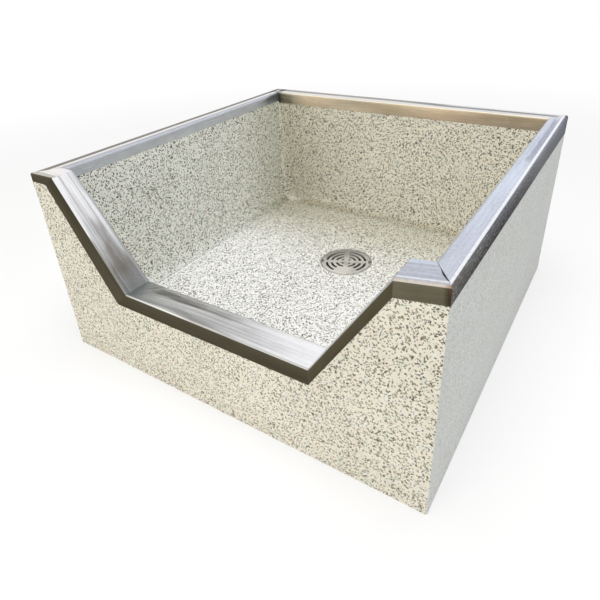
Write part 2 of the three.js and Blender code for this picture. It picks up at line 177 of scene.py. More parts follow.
class DrainSizes(bpy.types.PropertyGroup):
    """The cast-in drain, its strainer and the ring that grips the waste pipe."""

    back: length("Drain place", 70, "Drain centre behind the middle of the sink")
    rim_height: length("Rim height", 50.8, "Height of the strainer's top")
    strainer_radius: length("Strainer radius", 46, "Outer radius of the strainer")
    plate: length("Strainer plate", 2.6, "Thickness of the strainer")
    play: length("Strainer play", 0.5, "Strainer edge to rim")
    rim_wall: length("Rim wall", 1.8, "Thickness of the rim round the strainer")
    seat_width: length("Seat width", 5.4, "Ledge that carries the strainer")
    seat_ledge: length("Seat ledge", 3, "Thickness of the ledge")
    throat: length("Throat", 9, "Straight part below the ledge")
    hub_bore: length("Hub bore", 53.7, "Radius of the socket for the seal")
    hub_wall: length("Hub wall", 3, "Wall of the socket")
    hub_shoulder: length("Hub shoulder", 5, "Cone between throat and socket")
    hub_setback: length("Hub setback", 2, "Socket end above the underside")
    pipe_radius: length("Pipe radius", 44.45, "Outside radius of the waste pipe")
    seal_height: length("Seal height", 24, "Height of the rubber ring")
    seal_lip: length("Seal lip", 3, "Height of each lip of the ring")
    seal_waist: length("Seal waist", 1.6, "Depth of the groove between the lips")
    slot_pitch: length("Slot pitch", 9.3, "Between the rings of slots")
    first_slot: length("First slot ring", 8.6, "Radius of the innermost slots")
    slot_width: length("Slot width", 4.6, "Width of a slot")
    cross_bar: length("Cross bar", 8.5, "Solid bars between the quarters")
    notch_width: length("Notch width", 10, "Lifting notch, along the edge")
    notch_depth: length("Notch depth", 4, "Lifting notch, into the plate")
    turn: angle("Strainer turn", 24.5, "How the strainer was last dropped in")
    gap: length("Gap", 0.3, "Between pieces that touch")
    short_angle: angle("Short rings stop", 34, "From the front arm to the short rings' ends")
    slot_rings: bpy.props.IntProperty(
        name="Slot rings", description="Rings of slots in the strainer", default=4, min=1,
    )
    short_rings: bpy.props.IntProperty(
        name="Short rings", description="Outer rings that stop short of the front arm", default=2,
        min=0,
    )


class Finishes(bpy.types.PropertyGroup):
    """Colours of terrazzo, steel and rubber."""

    # part of the difference between these two cements is painted light: the cream stands for the
    # warm front lamp on the front and back walls, the grey for the cool right lamp on the side
    # walls
    cream_warm_lit_cement: colour("Cream cement", (0.93, 0.89, 0.775), "Cement of front and back walls")
    grey_cool_lit_cement: colour("Grey cement", (0.95, 0.96, 0.905), "Cement of the side walls, inside")
    floor_cement: colour("Floor cement", (0.92, 0.92, 0.905), "Cement of the scrubbed floor")
    side_film: colour("Side film", (0.64, 0.65, 0.645), "Thin cement film on the outer sides")
    # the soap film tint is also the painted shade towards the basin's back left corner
    soap_film_and_shade: colour("Soap film", (0.60, 0.58, 0.465), "Film left at the back of the basin")
    pale_chip: colour("Pale chip", (0.96, 0.95, 0.91), "Palest marble chips")
    green_chip: colour("Green chip", (0.74, 0.79, 0.70), "Pale green marble chips")
    pink_chip: colour("Pink chip", (0.88, 0.80, 0.74), "Pale pink marble chips")
    dark_chip: colour("Dark chip", (0.024, 0.018, 0.011), "Darkest marble chips")
    olive_chip: colour("Olive chip", (0.120, 0.094, 0.056), "Common olive grey chips")
    tan_chip: colour("Tan chip", (0.34, 0.29, 0.20), "Tan marble chips")
    steel_shade: colour("Steel shade", (0.40, 0.405, 0.42), "Dull streaks in the steel")
    # painted highlight: the cream line along the right shoulder's fold stands for light that the
    # fold reflects
    fold_sheen_tint: colour("Fold line", (0.71, 0.63, 0.54), "Cream line along the right shoulder")
    # painted reflection: the dark olive of the front skirts stands for the surroundings that the
    # steel reflects
    skirt: colour("Skirt film", (0.093, 0.083, 0.055), "Olive film on the front skirts")
    rust: colour("Rust", (0.20, 0.105, 0.04), "Rust at the opened mitre")
    satin: colour("Satin steel", (0.58, 0.585, 0.59), "Satin steel of the drain body")
    plate: colour("Strainer plate", (0.80, 0.795, 0.775), "Scrubbed steel of the strainer")
    mill: colour("Mill steel", (0.42, 0.42, 0.42), "Hidden anchors and lugs")
    rubber: colour("Rubber", (0.022, 0.022, 0.022), "Ring round the waste pipe")


class StageValues(bpy.types.PropertyGroup):
    """Floor, light from all round, and lamps."""

    floor: colour("Floor", (0.86, 0.86, 0.86), "Pale studio floor")
    floor_veil: share("Floor veil", 0.62, "Share of the floor that stays background white")
    sky: share("Sky", 0.25, "Even light from all round, as a share of the background's")
    top_lamp: power("Top lamp", 74.0, "The lamp above")
    front_lamp: power("Front lamp", 20.0, "The warm lamp in front")
    right_lamp: power("Right lamp", 12.0, "The cool lamp on the right")


# ---------- shader maths ----------
def socket_maths(operation, swapped=False):
    """A method that adds one Math node; swapped puts the socket after the other value."""
    def method(self, *others):
        values = (*others, self) if swapped else (self, *others)
        return self.graph.add("Math", {"operation": operation}, dict(enumerate(values)))

    return method


class Value:
    """A shader socket; arithmetic on it adds Math nodes to its graph."""

    __add__, __radd__ = socket_maths("ADD"), socket_maths("ADD", True)
    __sub__, __rsub__ = socket_maths("SUBTRACT"), socket_maths("SUBTRACT", True)
    __mul__, __rmul__ = socket_maths("MULTIPLY"), socket_maths("MULTIPLY", True)
    __truediv__, __rtruediv__ = socket_maths("DIVIDE"), socket_maths("DIVIDE", True)
    __lt__, __gt__ = socket_maths("LESS_THAN"), socket_maths("GREATER_THAN")
    __abs__ = socket_maths("ABSOLUTE")
    maximum, minimum = socket_maths("MAXIMUM"), socket_maths("MINIMUM")
    exponential, sine = socket_maths("EXPONENT"), socket_maths("SINE")

    def __init__(self, graph, socket):
        self.graph = graph
        self.socket = socket

    def clamped(self):
        return self.maximum(0.0).minimum(1.0)

    def rise(self, start, end):
        """0 before start, 1 after end, smooth between; start may be the larger."""
        if start > end:
            return 1 - self.rise(end, start)
        settings = {"interpolation_type": "SMOOTHSTEP"}
        return self.graph.add("MapRange", settings, {0: self, "From Min": start, "From Max": end})


class Graph:
    """The node tree of a new material, or of a new world, up to its output."""

    def __init__(self, name, world=False):
        self.owner = (bpy.data.worlds if world else bpy.data.materials).new(name)
        self.owner.use_nodes = True
        self.tree = self.owner.node_tree
        self.tree.nodes.clear()
        kind = "ShaderNodeOutputWorld" if world else "ShaderNodeOutputMaterial"
        self.output = self.tree.nodes.new(kind)

    def connect(self, socket, value):
        if isinstance(value, Value):
            self.tree.links.new(value.socket, socket)
        elif isinstance(value, (int, float)) or not hasattr(socket.default_value, "__len__"):
            socket.default_value = value
        else:
            wanted = list(value)
            missing = len(socket.default_value) - len(wanted)
            socket.default_value = wanted + [1.0] * missing

    def add(self, kind, settings=None, inputs=None, output=0):
        """Adds a node: settings first, then the values or links of its sockets."""
        node = self.tree.nodes.new("ShaderNode" + kind)
        for name, value in (settings or {}).items():
            if name == "stops":
                self._set_stops(node.color_ramp, value)
            else:
                setattr(node, name, value)
        for name, value in (inputs or {}).items():
            self.connect(node.inputs[name], value)
        return Value(self, node.outputs[output])

    @staticmethod
    def _set_stops(ramp, stops):
        while len(ramp.elements) > len(stops):
            ramp.elements.remove(ramp.elements[-1])
        while len(ramp.elements) < len(stops):
            ramp.elements.new(1.0)
        for element, (place, tint) in zip(ramp.elements, stops):
            element.position = place
            element.color = (*tint, 1.0)

    def sibling(self, value, output):
        """Another output of the node that value comes from."""
        return Value(self, value.socket.node.outputs[output])

    def principled(self, **inputs):
        """A Principled shader; underscores stand for the spaces in its sockets' names."""
        named = {name.replace("_", " "): value for name, value in inputs.items()}
        return self.add("BsdfPrincipled", None, named)

    def finished(self, shader):
        """Sends a shader to the output and returns the material or world."""
        self.connect(self.output.inputs["Surface"], shader)
        return self.owner

    def material(self, **inputs):
        return self.finished(self.principled(**inputs))

    def coordinates(self):
        return self.add("TexCoord", output="Object")

    def vector(self, operation, *values, output=0):
        inputs = dict(enumerate(values))
        return self.add("VectorMath", {"operation": operation}, inputs, output)

    def length(self, vector):
        return self.vector("LENGTH", vector, output="Value")

    def scaled(self, vector, factor):
        return self.add("VectorMath", {"operation": "SCALE"}, {0: vector, "Scale": factor})

    def split(self, vector):
        first = self.add("SeparateXYZ", None, {0: vector})
        return first, self.sibling(first, 1), self.sibling(first, 2)

    def join(self, x, y, z):
        return self.add("CombineXYZ", None, {0: x, 1: y, 2: z})

    def blend(self, factor, first, second, mode="MIX"):
        """Mixes two colours."""
        settings = {"data_type": "RGBA", "blend_type": mode, "clamp_factor": True}
        return self.add("Mix", settings, {0: factor, 6: first, 7: second}, output=2)

    def ramp(self, value, stops):
        return self.add("ValToRGB", {"stops": stops}, {0: value})

    def noise(self, vector, scale=1.0, detail=2.0, roughness=0.5):
        inputs = {"Vector": vector, "Scale": scale, "Detail": detail, "Roughness": roughness}
        return self.add("TexNoise", None, inputs)

    def bump(self, height, distance, strength=1.0, normal=None):
        inputs = {"Height": height, "Distance": distance, "Strength": strength}
        if normal is not None:
            inputs["Normal"] = normal
        return self.add("Bump", None, inputs)


# ---------- mesh helpers ----------
def rounded(bm, geom, radius, steps, affect="EDGES", clamp=False):
    """Rounds edges, or the corners of a face."""
    bmesh.ops.bevel(
        bm, geom=geom, offset=radius, offset_type="OFFSET", segments=steps, profile=0.5,
        affect=affect, material=-1, clamp_overlap=clamp,
    )


def smoothed(bm, degrees):
    """Shades the faces smooth, but not across an edge that bends by more than this."""
    limit = math.radians(degrees)
    for face in bm.faces:
        face.smooth = True
    for edge in bm.edges:
        edge.smooth = edge.is_manifold and edge.calc_face_angle(0.0) < limit


def sharp_edges(bm, degrees):
    limit = math.radians(degrees)
    return [edge for edge in bm.edges if edge.calc_face_angle(0.0) > limit]


def added(name, data):
    """A new object for the data, in the scene."""
    item = bpy.data.objects.new(name, data)
    bpy.context.scene.collection.objects.link(item)
    return item


def mesh_from(bm, name):
    """A new mesh from a bmesh, which is freed."""
    mesh = bpy.data.meshes.new(name)
    bm.to_mesh(mesh)
    bm.free()
    return mesh


def piece_from(bm, name, body, smooth_under=None):
    """Turns a bmesh into a piece that rides a body."""
    bmesh.ops.recalc_face_normals(bm, faces=bm.faces)
    if smooth_under is not None:
        smoothed(bm, smooth_under)
    piece = added(name, mesh_from(bm, name))
    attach(piece, body)
    return piece


def dressed(piece, node, material):
    """Gives a piece its material and even shading, in the place of a CAD node."""
    piece.data.materials.clear()
    piece.data.materials.append(material)
    modifier = piece.modifiers.new("even shading", "WEIGHTED_NORMAL")
    modifier.keep_sharp = True
    modifier.weight = 60
    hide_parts(node)


def moved_verts(geometry):
    return [item for item in geometry if isinstance(item, bmesh.types.BMVert)]


def box(size, place):
    """A box by its size and centre, as a bmesh."""
    bm = bmesh.new()
    bmesh.ops.create_cube(bm, size=1.0)
    bmesh.ops.scale(bm, verts=bm.verts, vec=size)
    bmesh.ops.translate(bm, verts=bm.verts, vec=place)
    return bm


def lofted(bm, near, far):
    """A closed solid from one outline to another of as many points; returns both rows."""
    first = [bm.verts.new(point) for point in near]
    face = bm.faces.new(first)
    swept = bmesh.ops.extrude_face_region(bm, geom=[face], use_keep_orig=True)["geom"]
    moved = moved_verts(swept)
    last = [min(moved, key=lambda vert, at=point: (vert.co - at).length) for point in near]
    for vert, point in zip(last, far):
        vert.co = point
    bmesh.ops.recalc_face_normals(bm, faces=bm.faces)
    return first, last


def spun(profile, back):
    """Turns an open profile of (radius, height) round the upright axis at y = back."""
    bm = bmesh.new()
    verts = [bm.verts.new((radius, back, z)) for radius, z in profile]
    edges = [bm.edges.new(pair) for pair in zip(verts, verts[1:])]
    bmesh.ops.spin(
        bm, geom=verts + edges, cent=(0, back, 0), axis=(0, 0, 1), angle=2 * math.pi,
        steps=ROUND_STEPS, use_merge=True, use_duplicate=False,
    )
    bmesh.ops.remove_doubles(bm, verts=bm.verts, dist=SAME_PLACE)
    bmesh.ops.recalc_face_normals(bm, faces=bm.faces)
    return bm


def cut_away(piece, cutters):
    """Cuts each closed bmesh out of a piece; returns what is left as a bmesh."""
    for number, bm in enumerate(cutters):
        mesh = mesh_from(bm, "cutter")
        cutter = added("cutter", mesh)
        modifier = piece.modifiers.new("cut", "BOOLEAN")
        modifier.object = cutter
        modifier.operation = "DIFFERENCE"
        modifier.solver = "EXACT"
        graph = bpy.context.evaluated_depsgraph_get()
        result = bpy.data.meshes.new_from_object(piece.evaluated_get(graph))
        piece.modifiers.clear()
        old, piece.data = piece.data, result
        bpy.data.meshes.remove(old)
        bpy.data.objects.remove(cutter)
        bpy.data.meshes.remove(mesh)
        if not result.polygons:
            raise RuntimeError(f"cut {number} left nothing of {piece.name}")
    bm = bmesh.new()
    bm.from_mesh(piece.data)
    bmesh.ops.remove_doubles(bm, verts=bm.verts, dist=2 * SAME_PLACE)
    return bm


# ---------- curb caps ----------
class Station:
    """One end of a cap: its top outer corner, the way across and the way down."""

    def __init__(self, origin, across, width, outer, inner, down):
        self.origin = origin
        self.across = across / width
        self.width = width
        self.outer = outer
        self.inner = inner
        self.down = down

    def point(self, inwards, depth):
        return self.origin + self.across * inwards + self.down(depth)


def wall_thickness(sizes, top, height):
    return top + math.tan(sizes.draft) * (sizes.height - height)


def shoulder_plane(sizes):
    """The right shoulder's rise towards the right, and its tilt: its rise inwards. It is one
    plane, low at the drop front and level with the inner corner of the right wall's cap."""
    rise = sizes.right_fall / sizes.right_shoulder
    return rise, rise * sizes.side_curb / sizes.front_curb


def front_corners(sizes, caps):
    """Corners of the drop front from left to right: place, height, shift to the skirt's foot
    and the way the top runs inwards, aslant where the right slope meets the shoulder."""
    left = -sizes.width / 2 + sizes.left_shoulder
    right = sizes.width / 2 - sizes.right_shoulder
    top = sizes.height - sizes.right_fall
    rise, tilt = shoulder_plane(sizes)
    slope = (top - sizes.sill) / sizes.right_slope
    aside = tilt / (slope - rise)
    level, slanting = Vector((0, 1, 0)), Vector((aside, 1, aside * slope))
    return [
        (left, sizes.height, -caps.left_top_shift, -caps.left_shoulder, level),
        (left + sizes.left_slope, sizes.sill, -caps.left_foot_shift, -caps.sill, level),
        (right - sizes.right_slope, sizes.sill, 0.0, -caps.sill, level),
        (right, top, 0.0, -caps.right_shoulder, slanting),
    ]


def straight_down(depth):
    return Vector((0, 0, -depth))


def bend_down(before, corner, after):
    """The way down at a corner of the drop front: the sheet's thickness follows the
    bisector of the two runs, the skirt's foot has a shift of its own."""
    def leftwards(start, end):
        run = Vector((end[0] - start[0], 0, end[1] - start[1])).normalized()
        return Vector((run.z, 0, -run.x))

    first, second = leftwards(before, corner), leftwards(corner, after)
    bisector = (first + second) / (1 + first.dot(second))
    foot = Vector((corner[2], 0, corner[3]))
    foot_depth = -corner[3]

    def down(depth):
        if depth < foot_depth:
            return bisector * depth
        return foot * (depth / foot_depth)

    return down


def corner_station(sizes, sides, width, outer, inner):
    """A cap's end at a corner of the sink; sides is (-1 left or 1 right, -1 front or 1 back)."""
    curb = sizes.front_curb if sides[1] < 0 else sizes.back_curb
    corner = Vector((sides[0] * sizes.width / 2, sides[1] * sizes.depth / 2, sizes.height))
    across = Vector((-sides[0] * sizes.side_curb, -sides[1] * curb, 0))
    return Station(corner, across, width, outer, inner, straight_down)


def front_station(sizes, caps, number):
    corners = front_corners(sizes, caps)
    corner = corners[number]
    before = corners[number - 1] if number else (-sizes.width / 2, sizes.height)
    after = corners[number + 1] if number < 3 else (sizes.width / 2, sizes.height)
    width = wall_thickness(sizes, sizes.front_curb, corner[1])
    origin = Vector((corner[0], -sizes.depth / 2, corner[1]))
    across = corner[4] * width
    return Station(origin, across, width, -corner[3], -corner[3], bend_down(before, corner, after))


def cap_stations(sizes, caps):
    """Start and end of each cap, by the name of the CAD node that it replaces."""
    side = sizes.side_curb
    front_left, back_left, back_right, front_right = (-1, -1), (-1, 1), (1, 1), (1, -1)

    def wall(start, end, width, inner):
        outer = {-1: caps.side_front, 1: caps.back_skirt}
        return [corner_station(sizes, at, width, outer[at[1]], inner) for at in (start, end)]

    def shoulder(at, skirt):
        return corner_station(sizes, at, sizes.front_curb, skirt, skirt)

    corners = [front_station(sizes, caps, number) for number in range(4)]
    return {
        "cap_left_wall": wall(front_left, back_left, side, caps.side_inner),
        "cap_back_wall": wall(back_left, back_right, sizes.back_curb, caps.back_inner),
        "cap_right_wall": wall(back_right, front_right, side, caps.side_inner),
        "cap_left_shoulder": [shoulder(front_left, caps.left_shoulder), corners[0]],
        "cap_left_slope": corners[0:2],
        "cap_threshold": corners[1:3],
        "cap_right_slope": corners[2:4],
        "cap_right_shoulder": [corners[3], shoulder(front_right, caps.right_shoulder)],
    }


def channel_profile(station, sheet, lean, foot_room=0.0, overrun=0.0):
    """Section of a cap, or with an overrun of the recess it sits in, as (inwards, depth)."""
    outer, inner = station.outer + foot_room, station.inner + foot_room
    far, slant = station.width, lean * station.inner
    return [
        (-overrun, outer), (-overrun, -overrun), (far + overrun, -overrun),
        (far + overrun + slant, inner), (far - sheet + slant, inner), (far - sheet, sheet),
        (sheet, sheet), (sheet, outer),
    ]


def channel(bm, ends, profiles, inset, folds):
    """Sweeps a channel's section from one station to the other and rounds its folds, given
    as (the fold's two corners in the section, radius)."""
    along = (ends[1].origin - ends[0].origin).normalized()
    rows = [
        [end.point(*spot) + along * shift for spot in profile]
        for end, profile, shift in zip(ends, profiles, inset)
    ]
    first, last = lofted(bm, *rows)
    for corners, radius in folds:
        edges = [bm.edges.get((first[number], last[number])) for number in corners]
        rounded(bm, edges, radius, FOLD_STEPS)
    return along


OUTER_FOLDS, INNER_FOLDS = (1, 2), (5, 6)


def fold_radius(name, caps):
    return caps.wall_bend if name.endswith("wall") else caps.front_bend


def fold_cap(name, ends, sizes, caps, material):
    """One run of cap, folded from sheet, with its length in u and its breadth in v."""
    bend = fold_radius(name, caps)
    start, end = ends
    bm = bmesh.new()
    profiles = [channel_profile(station, caps.sheet, math.tan(sizes.draft)) for station in ends]
    gaps = [caps.gap / 2, -caps.gap / 2]
    if name == "cap_right_shoulder":
        gaps[1] = -caps.open_gap
    folds = ((OUTER_FOLDS, bend), (INNER_FOLDS, bend - caps.sheet))
    along = channel(bm, ends, profiles, gaps, folds)
    run = (end.origin - start.origin).length
    lengthwise = [
        edge for edge in bm.edges
        if abs((edge.verts[0].co - edge.verts[1].co).normalized().dot(along)) > 0.9
    ]
    bmesh.ops.subdivide_edges(bm, edges=lengthwise, cuts=max(2, round(run / CAP_STEP)))
    across = (start.across - along * start.across.dot(along)).normalized()
    upwards = along.cross(across)
    if upwards.z < 0:
        upwards.negate()
    chart = bm.loops.layers.uv.new("sheet")
    mean = (start.width + end.width) / 2

    def unfold(vert):
        """Length along the run, and breadth: 0 on the outer fold, mean on the inner one."""
        offset = vert.co - start.origin
        down_run = offset.dot(along)
        part = min(max(down_run / run, 0.0), 1.0)
        width = start.width + (end.width - start.width) * part
        inwards, depth = offset.dot(across), -offset.dot(upwards)
        if inwards < width / 2:
            return down_run, inwards * mean / width - depth
        return down_run, mean + (inwards - width) * mean / width + depth

    places = {vert: unfold(vert) for vert in bm.verts}
    for face in bm.faces:
        for loop in face.loops:
            loop[chart].uv = places[loop.vert]
    piece = piece_from(bm, name + "_sheet", SINK, CAP_SMOOTH)
    dressed(piece, name, material)


# ---------- materials ----------
def shards(graph, point, cell, half_sizes, seed):
    """Angular marble chips at one size: how much of a chip is at each point, and two
    random numbers for it. Each Voronoi cell holds one chip at a random angle."""
    spot = graph.vector("ADD", graph.scaled(point, 1.0 / cell), (seed, seed * 1.7, seed * 0.6))
    settings = {"voronoi_dimensions": "3D", "feature": "F1"}
    cells = graph.add("TexVoronoi", settings, {"Vector": spot, "Scale": 1.0})
    centre = graph.sibling(cells, "Position")
    chance = graph.add("TexWhiteNoise", {"noise_dimensions": "3D"}, {0: centre})
    turns = graph.scaled(graph.sibling(chance, "Color"), 2 * math.pi)
    local = graph.vector("SUBTRACT", spot, centre)
    settings = {"rotation_type": "EULER_XYZ"}
    turned = graph.add("VectorRotate", settings, {"Vector": local, "Rotation": turns})
    # a box with its corners cut off, at a random size
    reach = [abs(part) / half for part, half in zip(graph.split(turned), half_sizes)]
    corners = (reach[0] + 0.4 * reach[1]).maximum(reach[1] + 0.3 * reach[2])
    shape = corners.maximum(reach[2] + 0.3 * reach[0])
    size = graph.add("TexWhiteNoise", {"noise_dimensions": "1D"}, {"W": chance})
    inside = (shape / (0.62 + 0.55 * size)).rise(1.06, 0.94)
    return inside, chance, size


def chipped(graph, point, finish, tint, inside):
    """Marble chips laid over the tint of the cement, the pale ones first."""
    for cell, seed, amount in PALE_CHIPS:
        pale, kind, _ = shards(graph, point, cell, PALE_HALVES, seed)
        pale_tint = graph.ramp(kind, [
            (0.0, finish.pale_chip), (0.35, finish.pale_chip), (0.50, finish.green_chip),
            (0.70, finish.green_chip), (0.80, finish.pink_chip), (1.0, finish.pale_chip),
        ])
        tint = graph.blend(pale * amount, tint, pale_tint)
    for cell, halves, seed, amount in DARK_CHIPS:
        chip, kind, other = shards(graph, point, cell, halves, seed)
        chip_tint = graph.ramp(other, [
            (0.0, finish.dark_chip), (0.12, finish.dark_chip), (0.22, finish.olive_chip),
            (0.72, finish.olive_chip), (0.86, finish.tan_chip), (1.0, finish.tan_chip),
        ])
        chip_tint = graph.blend(inside, chip_tint, WET_CHIP, "MULTIPLY")
        tint = graph.blend((kind < amount) * chip, tint, chip_tint)
    return tint


def terrazzo_material(finish, sizes):
    """Ground terrazzo: marble chips at several sizes in white cement, with the cement's tint and
    film by where it is on the sink, and painted light: warmer and cooler walls, shade in the
    basin, highlights."""
    graph = Graph("ground_terrazzo")
    point = graph.coordinates()
    x, y, z = graph.split(point)
    waver = graph.noise(point, 380.0, 1.0)
    wavy = graph.vector("ADD", point, graph.scaled(graph.sibling(waver, "Color"), 0.0006))
    patches = graph.noise(point, 9.0, 3.0, 0.6)
    cloud = graph.noise(point, 34.0, 2.0, 0.6)
    grain = graph.noise(point, 1100.0, 2.0, 0.6)

    # where on the sink: outer sides, basin, its floor and coves, side walls against end walls
    half, half_deep = sizes.width / 2, sizes.depth / 2
    outside = abs(x).rise(half - 0.0012, half - 0.0004)
    inside = abs(x).rise(half - 0.022, half - 0.026)
    inside = inside * abs(y).rise(half_deep - 0.022, half_deep - 0.026)
    foot = sizes.floor_edge
    over_hole = z.rise(*BASIN_FOOT)
    floor = z.rise(foot + 0.0027, foot + 0.0003) * over_hole * inside
    lower = z.rise(foot + sizes.cove, foot + 0.002) * over_hole * inside
    slant = math.tan(sizes.draft) * (sizes.height - z)
    to_side = half - abs(x) - slant - sizes.side_curb
    to_back = half_deep - y - slant - sizes.back_curb
    to_front = half_deep + y - slant - sizes.front_curb
    side_wall = (to_back.minimum(to_front) - to_side).rise(-0.004, 0.004)
    back_wall = (1 - side_wall) * (1 - lower) * y.rise(0.0, 0.2) * inside
    floor_left = -half + wall_thickness(sizes, sizes.side_curb, foot) + sizes.cove
    cove_side_shade = (abs(x) + floor_left).rise(-0.001, 0.002) * lower
    cove_back_shade = (to_back - sizes.cove).rise(0.002, -0.004) * lower * (1 - cove_side_shade)

    # painted light in part: cream cement on the front and back walls for the warm front lamp, grey
    # on the side walls for the cool right lamp
    cement = graph.blend(side_wall.maximum(outside), finish.cream_warm_lit_cement[:], finish.grey_cool_lit_cement[:])
    cement = graph.blend(floor, cement, finish.floor_cement[:])
    tint = chipped(graph, wavy, finish, cement, inside)
    film = 0.62 + 0.2 * cloud
    tint = graph.blend(outside * film, tint, finish.side_film[:])

    # painted shade that darkens the basin towards its back left corner, on its back wall, low down
    # and in its coves, and a patchy film low at the back
    corner = y.rise(0.06, 0.28) * x.rise(-0.03, -0.29) * inside
    scum = y.rise(0.0, 0.25) * lower * (0.65 + 0.5 * patches)
    for cover, dirt in (
        (corner * 0.58, finish.soap_film_and_shade[:]), (scum, finish.soap_film_and_shade[:]),
        (back_wall, (0.93, 0.925, 0.915)), (lower, (0.92, 0.92, 0.935)),
        (cove_side_shade, (0.84, 0.85, 0.84)), (cove_back_shade, (0.86, 0.85, 0.85)),
    ):
        tint = graph.blend(cover, tint, dirt, "MULTIPLY")

    # painted highlights: a bright spot in the back left cove and a bright line along the floor's
    # left edge, where light catches them
    scrubbed = graph.length(graph.vector("SUBTRACT", point, PAINTED_HIGHLIGHT_SPOT))
    scrubbed = scrubbed.rise(0.030, 0.005) * cloud.rise(0.40, 0.62)
    tint = graph.blend(scrubbed * 0.45, tint, (0.93, 0.92, 0.84))
    line = abs(x - floor_left).rise(0.0016, 0.0004) * floor
    line = line * y.rise(0.06, -0.04) * cloud.rise(0.25, 0.4)
    tint = graph.blend(line * 0.85, tint, (0.95, 0.95, 0.94))

    for mask, stops in (
        (patches, [(0.3, (0.93, 0.93, 0.92)), (0.7, (1.0, 1.0, 1.0))]),
        (grain, [(0.3, (0.90, 0.90, 0.88)), (0.65, (1.0, 1.0, 1.0))]),
    ):
        tint = graph.blend(1.0, tint, graph.ramp(mask, stops), "MULTIPLY")
    relief = graph.bump(graph.noise(point, 45.0, 3.0), 0.0004)
    return graph.material(
        Base_Color=tint, Roughness=0.38 + 0.16 * patches + 0.2 * outside,
        Specular_IOR_Level=0.42, Normal=graph.bump(grain, 0.00004, 1.0, relief),
    )


